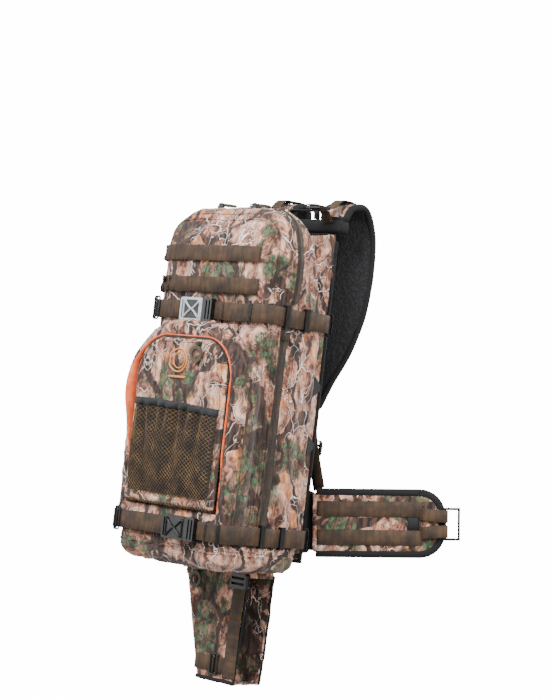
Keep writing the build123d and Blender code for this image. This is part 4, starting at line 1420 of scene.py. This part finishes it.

# %% [markdown]
# ### Buckles
# The buckles are side-release buckles, whose bodies, arms and plugs come from the design and move with its
# joints. Each socket's face has a raised crossed rib round a sunken panel, as the mould leaves it. The top
# socket and its ribs are light grey: a painted reflection on what is black plastic, as on the bottom socket.


# %% Crossed ribs on the sockets
def crossed_ribs(name, node_name, finish, hollow):
    """Raised crossed ribs on a socket's front face, over a sunken darker panel."""
    low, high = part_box(node_name)
    front = low.y
    middle = (low + high) / 2 + Vector((0.003, 0, 0))
    wide, tall = (high.x - low.x) * 0.36, (high.z - low.z) * 0.40
    panel = bmesh.new()
    bmesh.ops.create_cube(panel, size=1.0)
    bmesh.ops.bevel(panel, geom=panel.edges[:], offset=0.12, segments=2, affect="EDGES")
    for vertex in panel.verts:
        x, y, z = vertex.co
        vertex.co = (middle.x + x * 2 * wide, front - 0.0001 + y * 0.0006, middle.z + z * 2 * tall)
    mesh = bpy.data.meshes.new("panel")
    panel.to_mesh(mesh)
    panel.free()
    sunk = bpy.data.objects.new("panel", mesh)
    bpy.context.scene.collection.objects.link(sunk)
    sunk.data.materials.append(hollow)
    ribs = []
    for slope in (1, -1):
        line = []
        for i in range(9):
            t = i / 8 * 2 - 1
            rise = slope * tall * 0.92 * t * (0.55 + 0.45 * abs(t))
            line.append((middle.x + wide * 0.92 * t, front - 0.0009, middle.z + rise))
        ribs.append(roll("rib", line, 0.0023, False, 8, 0.7))
    for end in (-1, 1):
        edge = [(middle.x + end * wide, front - 0.0006, middle.z + tall * k / 4) for k in range(-4, 5)]
        ribs.append(roll("rib", edge, 0.0017, False, 8, 0.7))
    for rib in ribs:
        rib.data.materials.append(finish)
    made = joined(name, [sunk] + ribs)
    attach(made, "pack")


# The top socket's ribs are light grey, a painted reflection on black plastic.
crossed_ribs("top_socket_ribs", "top_buckle_socket", reflection_grey_acetal, black_acetal)
crossed_ribs("bottom_socket_ribs", "bottom_buckle_socket", black_acetal, black_acetal)
# The top socket's body is light grey too: a painted reflection.
dress(reflection_grey_acetal, "top_buckle_socket")
dress(
    black_acetal, "bottom_buckle_socket", "top_buckle_plug", "bottom_buckle_plug", "top_buckle_arm_upper",
    "top_buckle_arm_lower", "bottom_buckle_arm_upper", "bottom_buckle_arm_lower", "strap_keepers", "boot_lock",
    "shoulder_lock_right", "shoulder_lock_left", "lifter_buckles", "tip_frame_right", "tip_frame_left",
)

# %% [markdown]
# ## Zippers
# Coil zippers: a woven tape with a spiral of nylon sewn along the middle. The coil is again a repeat along a
# line, with a wider, flatter bead than the thread. The sliders are the design's, and the pulls are loops of
# cord in a moulded grip.

# %% Zipper tapes and coils
tape_pieces, coil_lines, lip_lines = [], [], []


def upright_strip(points, width, lift):
    """A tape that runs up and down on the bag, so its width lies level."""
    fine = evenly([Vector(p) for p in points], 0.005)
    placed = on_skin(bag_tree, fine, lift)
    line = [p for p, _ in placed]
    acrosses, columns = [], []
    for i, (at, normal) in enumerate(placed):
        tangent = (line[min(i + 1, len(line) - 1)] - line[max(i - 1, 0)]).normalized()
        across = tangent.cross(normal).normalized()
        acrosses.append(across)
        columns.append((at, normal, across))
    tape_pieces.append(strip("tape", line, acrosses, width, 0.0012))
    coil_lines.append([(at + normal * 0.0012, normal) for at, normal, _ in columns])
    for side in (1, -1):
        lip_lines.append([at + across * side * width * 0.48 + normal * 0.0003 for at, normal, across in columns])


for side in (1, -1):
    upright_strip([(0.140 * side, -0.146, -0.209), (0.140 * side, -0.146, -0.517)], 0.019, 0.0008)
crown = [
    (-0.140, -0.131, -0.170), (-0.140, -0.131, -0.080), (-0.130, -0.131, -0.035), (-0.068, -0.131, -0.008),
    (0.068, -0.131, -0.008), (0.130, -0.131, -0.035), (0.140, -0.131, -0.080), (0.140, -0.131, -0.170),
]
upright_strip(rounded(crown, 0.04, 8), 0.019, 0.0008)
finish_piece(joined("zipper_tape_cloth", tape_pieces), brown_tape, "pack", "zip_tape", "zip_tapes")
repeated("zipper_coils", "coil", coil_lines, 0.0021, (0.0012, 0.0046, 0.0014), "pack")
lips = [roll("lip", line, 0.0015, False, 6) for line in lip_lines]
finish_piece(joined("zipper_lips", lips), camo, "pack", "camo_fabric")

flap_zip = arch_points(flap_half - 0.0015, flap_top - 0.0015, flap_foot + 0.02, 0.061, 150)
flap_coil = [[(Vector((x, flap_high.y - 0.003, z)), Vector((0, -1, 0))) for x, z in flap_zip]]
repeated("flap_coil", "coil", flap_coil, 0.0023, (0.0013, 0.0040, 0.0014), "flap")

dress(
    slider_paint, "front_zip_slider", "crown_zip_slider_right", "crown_zip_slider_left", "side_zip_slider_right",
    "side_zip_slider_left", "boot_zip_slider",
)
dress(olive_rubber, "front_zip_pull", "crown_zip_pull_right", "crown_zip_pull_left", "boot_zip_pull")

# %% [markdown]
# ## Sleeve and harness
# Behind the bag is the open sleeve for the rifle: two cloth walls between the bag and the harness panel. The
# harness panel is stiff foam with camouflage cloth towards the sleeve and black cloth behind. The pads and the
# lumbar pad are foam under knitted spacer mesh, and the yoke is foam under black cloth.


# %% Thin panels from the design
def thin_panel(name, source, voxel, depth, size, seed):
    """A stiff cloth panel: the design's shape on an even net, softened and wrinkled."""
    piece = design_copy(name, source)
    even = piece.modifiers.new("even", "REMESH")
    even.mode = "VOXEL"
    even.voxel_size = voxel
    soften = piece.modifiers.new("soften", "SMOOTH")
    soften.iterations = 2
    settle(piece)
    wrinkle(piece, depth, size, (1, 1, 0.6), None, seed)
    print(name, "faces", len(piece.data.polygons))
    return piece


for side_name, sign in (("right", 1), ("left", -1)):
    wall_piece = thin_panel(f"sleeve_cloth_{side_name}", f"sleeve_wall_{side_name}", 0.0016, 0.0006, 0.03, 4.0 * sign)
    finish_piece(wall_piece, camo, "pack", "camo_fabric", f"sleeve_wall_{side_name}")

panel = thin_panel("harness_cloth", "harness_panel", 0.002, 0.0008, 0.05, 6.0)
panel.data.materials.clear()
for finish in (black_cordura, camo):
    panel.data.materials.append(finish)
for polygon in panel.data.polygons:
    polygon.material_index = 1 if polygon.normal.y < -0.5 else 0
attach(panel, "pack")
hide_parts("harness_panel")

# %% Pads
for name, source, cap, finish in (
    ("back_pad_mesh", "back_pads", 0.004, mesh_black), ("lumbar_mesh", "lumbar_pad", 0.004, mesh_black),
    ("yoke_cloth", "yoke", 0.003, black_cordura),
):
    pad = stuffed(name, [source], 0.004, 0.0012, cap, None, 12)
    finish_piece(pad, finish, "pack", "black_fabric", source)


# %% Black cloth over the frame sheet and the stays
cover_rows = []
for j in range(89):
    z = -0.566 + (0.566 - 0.040) * j / 88
    row = []
    for i in range(61):
        x = -0.0645 + 0.129 * i / 60
        over_stay = math.exp(-((abs(x) - 0.041) / 0.0085) ** 4)
        row.append(Vector((x, 0.0064 + 0.0032 * over_stay + 0.0003 * noise.noise(Vector((x, 0, z)) * 40), z)))
    cover_rows.append(row)
cover = object_from(
    "frame_cover", [p for row in cover_rows for p in row],
    [(j * 61 + i, j * 61 + i + 1, j * 61 + i + 62, j * 61 + i + 61) for j in range(88) for i in range(60)],
)
cover_cloth = cover.modifiers.new("cloth", "SOLIDIFY")
cover_cloth.thickness = 0.0006
cover_cloth.offset = 0
settle(cover)
outward(cover)
finish_piece(cover, black_cordura, "pack", "black_fabric")

outline = [(-0.0665, -0.038), (0.0665, -0.038), (0.0785, -0.12), (0.0785, -0.573), (-0.0785, -0.573), (-0.0785, -0.12)]
ring = [Vector((x, 0.002, z)) for x, z in outline + outline[:1]]
bound = roll("harness_binding", evenly(ring, 0.006)[:-1], 0.0034, True, 8, 0.9)
finish_piece(bound, black_binding, "pack", "black_fabric")

# %% [markdown]
# ### Haul loop, side tabs and load lifters
# Small webbing parts, modelled along their routes. The side tabs are the black triangles that join bag and
# harness; a lifter web runs from the yoke through each black buckle to the shoulder strap.

# %% Small webs
haul = rounded([(-0.030, 0, -0.0135), (-0.029, 0, 0.0012), (0.029, 0, 0.0012), (0.030, 0, -0.0135)], 0.011, 6)
haul_tape = strip("haul_tape", evenly(haul, 0.003), (0, 1, 0), 0.0138, 0.0023)
finish_piece(haul_tape, black_webbing, "pack", "black_webbing", "haul_loop")

tab_piece = design_copy("side_tab_cloth", "side_tabs")
even = tab_piece.modifiers.new("even", "REMESH")
even.mode = "VOXEL"
even.voxel_size = 0.0008
soften = tab_piece.modifiers.new("soften", "SMOOTH")
soften.iterations = 2
settle(tab_piece)
finish_piece(tab_piece, black_cordura, "pack", "black_webbing", "side_tabs")

lifter_tapes = []
for sign in (1, -1):
    x = 0.066 * sign
    upper = [(x, -0.054, 0.0032), (x, -0.006, 0.0032), (x, 0.010, 0.0203), (x, 0.034, 0.0203)]
    lower = [(x, -0.042, -0.0032), (x, -0.020, -0.0032), (x, -0.0096, -0.020)]
    lifter_tapes.append(strip("lifter", evenly(rounded(upper, 0.008, 5), 0.003), (1, 0, 0), 0.021))
    lifter_tapes.append(strip("lifter", evenly(rounded(lower, 0.004, 4), 0.003), (1, 0, 0), 0.021))
finish_piece(joined("lifter_tapes", lifter_tapes), brown_webbing, "pack", "brown_webbing", "lifter_webs")

# %% [markdown]
# ## Shoulder straps
# Each strap is a curved foam slab: camouflage outside, black spacer mesh towards the body, and a thick black
# binding round its edge. The design gives its middle line, how far it is turned and how wide it is.

# %% Shoulder pads
strap_sections = (
    ((0.062, 0.008, -0.0125), 0, 0.052), ((0.062, 0.020, 0.008), 4, 0.054), ((0.061, 0.046, 0.008), 14, 0.060),
    ((0.061, 0.061, -0.036), 30, 0.066), ((0.062, 0.062, -0.100), 42, 0.068), ((0.060, 0.058, -0.160), 42, 0.066),
    ((0.055, 0.047, -0.220), 30, 0.058), ((0.046, 0.036, -0.272), 12, 0.046), ((0.038, 0.031, -0.318), 0, 0.032),
)


def strap_frames(sign):
    """Finely spaced (middle, width direction, outward direction, width) along one shoulder strap."""
    middles = [Vector((p[0] * sign, p[1], p[2])) for p, _, _ in strap_sections]
    fine = []
    for i in range(len(middles) - 1):
        before, after = middles[max(i - 1, 0)], middles[min(i + 2, len(middles) - 1)]
        a, b = middles[i], middles[i + 1]
        for k in range(8):
            t = k / 8
            p = 0.5 * (
                2 * a + (b - before) * t + (2 * before - 5 * a + 4 * b - after) * t * t
                + (3 * a - before - 3 * b + after) * t ** 3
            )
            turn = strap_sections[i][1] * (1 - t) + strap_sections[i + 1][1] * t
            wide = strap_sections[i][2] * (1 - t) + strap_sections[i + 1][2] * t
            fine.append((p, turn, wide))
    fine.append((middles[-1], strap_sections[-1][1], strap_sections[-1][2]))
    out = []
    for i, (p, turn, wide) in enumerate(fine):
        tangent = (fine[min(i + 1, len(fine) - 1)][0] - fine[max(i - 1, 0)][0]).normalized()
        angle = math.radians(turn)
        turned_by = -math.sin(angle) if strap_turns_forward else math.sin(angle)
        side = Vector((math.cos(angle) * sign, turned_by, 0))
        side = (side - tangent * side.dot(tangent)).normalized()
        outer = side.cross(tangent).normalized() * sign
        out.append((p, side, outer, wide))
    return out


pad_tree_right = BVHTree.FromPolygons(
    [v.co.copy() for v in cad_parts["shoulder_pad_right"].data.vertices],
    [list(p.vertices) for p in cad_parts["shoulder_pad_right"].data.polygons],
)


def turn_fits(forward):
    """How near the strap's edges are to the design's slab when its width turns one way or the other."""
    angle = math.radians(42)
    side = Vector((math.cos(angle), -math.sin(angle) if forward else math.sin(angle), 0))
    edge = Vector((0.062, 0.062, -0.100)) + side * 0.033
    return (pad_tree_right.find_nearest(edge)[0] - edge).length


strap_turns_forward = turn_fits(True) < turn_fits(False)
print("strap turns forward", strap_turns_forward)

for side_name, sign in (("right", 1), ("left", -1)):
    lines = strap_frames(sign)
    body = f"shoulder_{side_name}"
    pad = stuffed(f"shoulder_cloth_{side_name}", [f"shoulder_pad_{side_name}"], 0.0035, 0.0012, 0.003, None, 12)
    tree = KDTree(len(lines))
    for i, (p, _, _, _) in enumerate(lines):
        tree.insert(p, i)
    tree.balance()
    pad.data.materials.clear()
    for finish in (mesh_black, camo):
        pad.data.materials.append(finish)
    facing = 1 if lines[len(lines) // 2][2].y > 0 else -1
    for polygon in pad.data.polygons:
        _, i, _ = tree.find(polygon.center)
        out = polygon.normal.dot(lines[i][2]) * facing
        polygon.material_index = 1 if out > 0.35 else 0
    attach(pad, body)
    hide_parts(f"shoulder_pad_{side_name}")
    edge = [p + side * (wide / 2 - 0.0012) for p, side, _, wide in lines]
    edge += [p - side * (wide / 2 - 0.0012) for p, side, _, wide in reversed(lines)]
    bound = roll(f"shoulder_binding_{side_name}", edge, 0.0056, True, 8, 1.0)
    finish_piece(bound, black_binding, body, "black_fabric")
    rows = []
    for reach in (0.5, -0.5):
        rows.append([
            (p + side * (wide * reach - 0.009 * reach / 0.5) + outer * facing * 0.0072, outer * facing)
            for p, side, outer, wide in lines[4:-4]
        ])
    stitches(f"shoulder_stitches_{side_name}", rows, body, "black")
    middle_run = [p + outer * facing * 0.0078 for p, _, outer, _ in lines[8:44]]
    sides = [side for _, side, _, _ in lines[8:44]]
    tape = strip(f"shoulder_tape_{side_name}", middle_run, sides, 0.025)
    finish_piece(tape, black_webbing, body, "black_webbing")
    low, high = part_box(f"shoulder_web_{side_name}")
    depth = (low.y + high.y) / 2
    path = [(0.038 * sign, depth, -0.3185), (0.054 * sign, depth, -0.387), (0.080 * sign, depth, -0.4528)]
    route = evenly(rounded(path, 0.02, 5), 0.005)
    web_piece = strip(f"shoulder_web_tape_{side_name}", route, (1, 0, 0.25 * sign), 0.025)
    finish_piece(web_piece, brown_webbing, body, "brown_webbing", f"shoulder_web_{side_name}")

# %% [markdown]
# ## Hip belt
# Each wing of the hip belt is a foam pad, camouflage outside and mesh inside, with a wide black binding, two
# rows of brown webbing and a black frame at its tip. It is laid out in its own plane, u along it and v up.

# %% Hip wings
hip_origin = Vector((0.092, 0.012, -0.507))
sweep, rise = math.radians(45), math.radians(6)
hip_along = Vector((math.cos(sweep) * math.cos(rise), math.sin(sweep) * math.cos(rise), math.sin(rise)))
hip_out = Vector((math.sin(sweep), -math.cos(sweep), 0))
hip_up = hip_out.cross(hip_along)
hip_length, hip_half, hip_tip_radius = 0.206, 0.050, 0.036


def hip(u, v, w, sign):
    """A point on the wing: u along, v up, w out from its middle plane."""
    p = hip_origin + hip_along * u + hip_up * v + hip_out * w
    return Vector((p.x * sign, p.y, p.z))


def hip_outline(inset):
    """The wing's outline (u, v), from its lower root round the tip to its upper root."""
    half, end, radius = hip_half - inset, hip_length - inset, hip_tip_radius - inset
    points = [(0.002 + (end - radius) * i / 24, -half) for i in range(24)]
    turns = [math.pi / 2 * i / 8 for i in range(9)]
    centre = end - radius
    points += [(centre + radius * math.sin(a), -half + radius - radius * math.cos(a)) for a in turns]
    points += [(centre + radius * math.cos(a), half - radius + radius * math.sin(a)) for a in turns]
    points += [(0.002 + (end - radius) * (1 - i / 24), half) for i in range(25)]
    return points


for side_name, sign in (("right", 1), ("left", -1)):
    body = f"hip_{side_name}"
    out = Vector((hip_out.x * sign, hip_out.y, 0))
    wing = stuffed(f"hip_cloth_{side_name}", [f"hip_wing_{side_name}"], 0.004, 0.0015, 0.003, None, 12)
    wing.data.materials.clear()
    for finish in (mesh_black, camo):
        wing.data.materials.append(finish)
    for polygon in wing.data.polygons:
        polygon.material_index = 1 if polygon.normal.dot(out) > 0.3 else 0
    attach(wing, body)
    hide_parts(f"hip_wing_{side_name}")
    rim = [hip(u, v, 0, sign) for u, v in hip_outline(0.001)]
    bound = roll(f"hip_binding_{side_name}", rim, 0.0070, False, 10, 1.0)
    finish_piece(bound, black_binding, body, "black_fabric")
    tapes, rows = [], []
    for offset in (0.023, -0.023):
        line = []
        for i in range(56):
            u = 0.004 + 0.170 * i / 55
            wave = abs(math.sin(math.pi * i / 55 * 6.8)) ** 0.7
            line.append(hip(u, offset, 0.0088 + 0.0012 * wave, sign))
        tapes.append(strip("row", line, hip(0, 1, 0, sign) - hip(0, 0, 0, sign), row_width))
        for k in range(8):
            u = 0.006 + 0.025 * k
            if u < 0.172:
                rows.append([(hip(u, offset + 0.0112 * t / 4, 0.0100, sign), out) for t in range(-4, 5)])
        loop = []
        radius = 0.0037
        bar_u, bar_w = 0.2107, 0.0107
        reach = 0.012 if offset > 0 else -0.012
        loop.append(hip(0.170, reach * 1.3, 0.0100, sign))
        loop.append(hip(0.190, reach * 1.1, 0.0092, sign))
        for i in range(13):
            a = -math.pi / 2 + math.pi * i / 12
            loop.append(hip(bar_u + radius * math.cos(a), reach, bar_w + radius * math.sin(a), sign))
        loop.append(hip(0.190, reach * 1.1, 0.0132, sign))
        loop.append(hip(0.172, reach * 1.3, 0.0124, sign))
        tapes.append(strip("loop", loop, hip(0, 1, 0, sign) - hip(0, 0, 0, sign), 0.020))
    rows_piece = joined(f"hip_tapes_{side_name}", tapes)
    finish_piece(rows_piece, brown_webbing, body, "brown_webbing", f"hip_webbing_{side_name}")
    rows.append([(hip(0.171, 0.030 * t, 0.0142, sign), out) for t in (-1, -0.6, -0.2, 0.2, 0.6, 1)])
    stitches(f"hip_stitches_{side_name}", rows, body, "brown", 0.0026)
    tab_line = [hip(0.150 + 0.018 * i / 4, 0, 0.0095, sign) for i in range(5)]
    tab = strip(f"hip_tab_{side_name}", tab_line, hip(0, 1, 0, sign) - hip(0, 0, 0, sign), 0.021, 0.0026)
    finish_piece(tab, black_webbing, body, "black_webbing")
    root = []
    for j in range(17):
        v = -0.046 + 0.092 * j / 16
        thick = 0.0062 * (1 - (abs(v) / 0.05) ** 4)
        root.append([
            Vector((0.070 * sign, 0.010, -0.507 + v)), Vector((0.084 * sign, 0.0135 + thick * 0.6, -0.507 + v)),
            hip(0.006, v, 0.0, sign), hip(0.022, v, 0.0, sign),
        ])
    verts = [p for row in root for p in row]
    faces = [(j * 4 + k, j * 4 + k + 1, j * 4 + k + 5, j * 4 + k + 4) for j in range(16) for k in range(3)]
    hinge = object_from(f"hip_root_{side_name}", verts, faces)
    thick = hinge.modifiers.new("foam", "SOLIDIFY")
    thick.thickness = 0.007
    thick.offset = 0
    finer = hinge.modifiers.new("finer", "SUBSURF")
    finer.levels = finer.render_levels = 2
    settle(hinge)
    outward(hinge)
    hinge.data.materials.clear()
    hinge.data.materials.append(black_cordura)
    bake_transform(hinge)

# %% [markdown]
# ## Rifle boot
# The boot is a camouflage pocket, open on its right side, that unrolls from the base pocket. A vertical
# webbing strap carries the rifle's weight, and a level one closes the foot. It swings a little on the cloth
# that joins it to the base pocket.

# %% Boot
boot = thin_panel("boot_cloth", "boot_shell", 0.0017, 0.0022, 0.045, 11.0)
wrinkle(boot, 0.0012, 0.018, (1, 1, 0.5), None, 13.0)
finish_piece(boot, camo, "boot", "camo_fabric", "boot_shell")
boot_low, boot_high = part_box("boot_shell")
print("boot", [round(x, 3) for x in boot_low], [round(x, 3) for x in boot_high])
boot_tree = surface_tree(boot)

foot_edge = [Vector((-0.060, boot_low.y, boot_low.z + 0.003)), Vector((0.035, boot_low.y, boot_low.z + 0.003))]
right_front = [Vector((0.035, boot_low.y, boot_low.z + 0.003)), Vector((0.042, boot_low.y, boot_high.z - 0.002))]
right_rear = [Vector((0.035, boot_high.y, boot_low.z + 0.003)), Vector((0.042, boot_high.y, boot_high.z - 0.002))]
rear_foot = [Vector((-0.060, boot_high.y, boot_low.z + 0.003)), Vector((0.035, boot_high.y, boot_low.z + 0.003))]
edges_made = []
for line, radius in ((foot_edge, 0.0034), (right_front, 0.0019), (right_rear, 0.0024), (rear_foot, 0.0026)):
    placed = on_skin(boot_tree, evenly(line, 0.004), 0.0)
    edges_made.append(roll("edge", [p for p, _ in placed], radius, False, 8))
finish_piece(joined("boot_binding", edges_made), black_binding, "boot", "black_fabric")

strap_low, strap_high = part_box("boot_strap")
strap_x = (strap_low.x + strap_high.x) / 2
strap_line = []
for i in range(46):
    t = i / 45
    z = strap_high.z + (strap_low.z - strap_high.z) * t
    at, normal, _, _ = boot_tree.find_nearest(Vector((strap_x, strap_low.y, z)))
    sway = 0.0045 * math.sin(math.pi * min(1.0, t / 0.85)) if t < 0.85 else 0.0
    strap_line.append(Vector((strap_x + 0.002 * math.sin(t * 5), min(at.y, strap_high.y) - 0.0013 - sway, z)))
boot_tape = strip("boot_strap_tape", strap_line, (1, 0, 0), 0.027)
finish_piece(boot_tape, brown_webbing, "boot", "brown_webbing", "boot_strap")
box_middle = strap_line[40]
box_rows = []
box_plan = ((-0.010, 0.009), (0.010, 0.009), (0.010, -0.009), (-0.010, -0.009))
box_corners = [box_middle + Vector((x, -0.0011, z)) for x, z in box_plan]
for a, b in ((0, 1), (1, 2), (2, 3), (3, 0), (3, 1), (0, 2)):
    box_rows.append(flat_line(box_corners[a], box_corners[b], (0, -1, 0), 0.002))
web_low, web_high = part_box("boot_web")
web_z = (web_low.z + web_high.z) / 2
web_line = []
for i in range(30):
    x = web_low.x - 0.004 + (web_high.x - web_low.x + 0.004) * i / 29
    at, normal, _, _ = boot_tree.find_nearest(Vector((x, web_low.y, web_z)))
    web_line.append(Vector((x, at.y - 0.0014, web_z)))
web_tape = strip("boot_web_tape", web_line, (0, 0, 1), row_width)
finish_piece(web_tape, brown_webbing, "boot", "brown_webbing", "boot_web")
web_end = web_line[3] + Vector((0, -0.0011, 0))
row_half = Vector((0, 0, 0.011))
box_rows.append(flat_line(web_end - row_half, web_end + row_half, (0, -1, 0), 0.002))
stitches("boot_stitches", box_rows, "boot", "brown", 0.0026)
glide = slot_frame((-0.012, web_line[20].y - 0.0022, web_z), (0, 0, 1), (1, 0, 0), 0.033, 0.016, 0.0019)
glide_bar = roll("bar", [(-0.012, web_line[20].y - 0.003, web_z - 0.015 + 0.005 * i) for i in range(7)], 0.0018)
finish_piece(joined("boot_glide", [glide, glide_bar]), black_acetal, "boot", "black_plastic")

# %% Cloth between the base pocket and the boot
front_y, rear_y = boot_low.y + 0.0015, boot_high.y - 0.0015
ring = [(-0.114, front_y), (0.040, front_y), (0.040, rear_y), (-0.114, rear_y)]
ring = evenly([Vector((x, y, 0)) for x, y in ring + ring[:1]], 0.006)[:-1]
levels = (-0.586, -0.590, -0.594, -0.598, -0.602, -0.607)
verts = []
for k, level in enumerate(levels):
    for i, p in enumerate(ring):
        pinch = 0.0016 * math.sin(i * 1.9) * math.sin(math.pi * k / 5)
        verts.append(Vector((p.x * (1 + 0.002 * k), p.y + pinch, level)))
count = len(ring)
faces = [
    (k * count + i, k * count + (i + 1) % count, (k + 1) * count + (i + 1) % count, (k + 1) * count + i)
    for k in range(len(levels) - 1) for i in range(count)
]
collar = object_from("boot_collar", verts, faces)
thick = collar.modifiers.new("cloth", "SOLIDIFY")
thick.thickness = 0.0014
thick.offset = 0
settle(collar)
outward(collar)
collar.data.materials.clear()
collar.data.materials.append(camo)
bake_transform(collar)
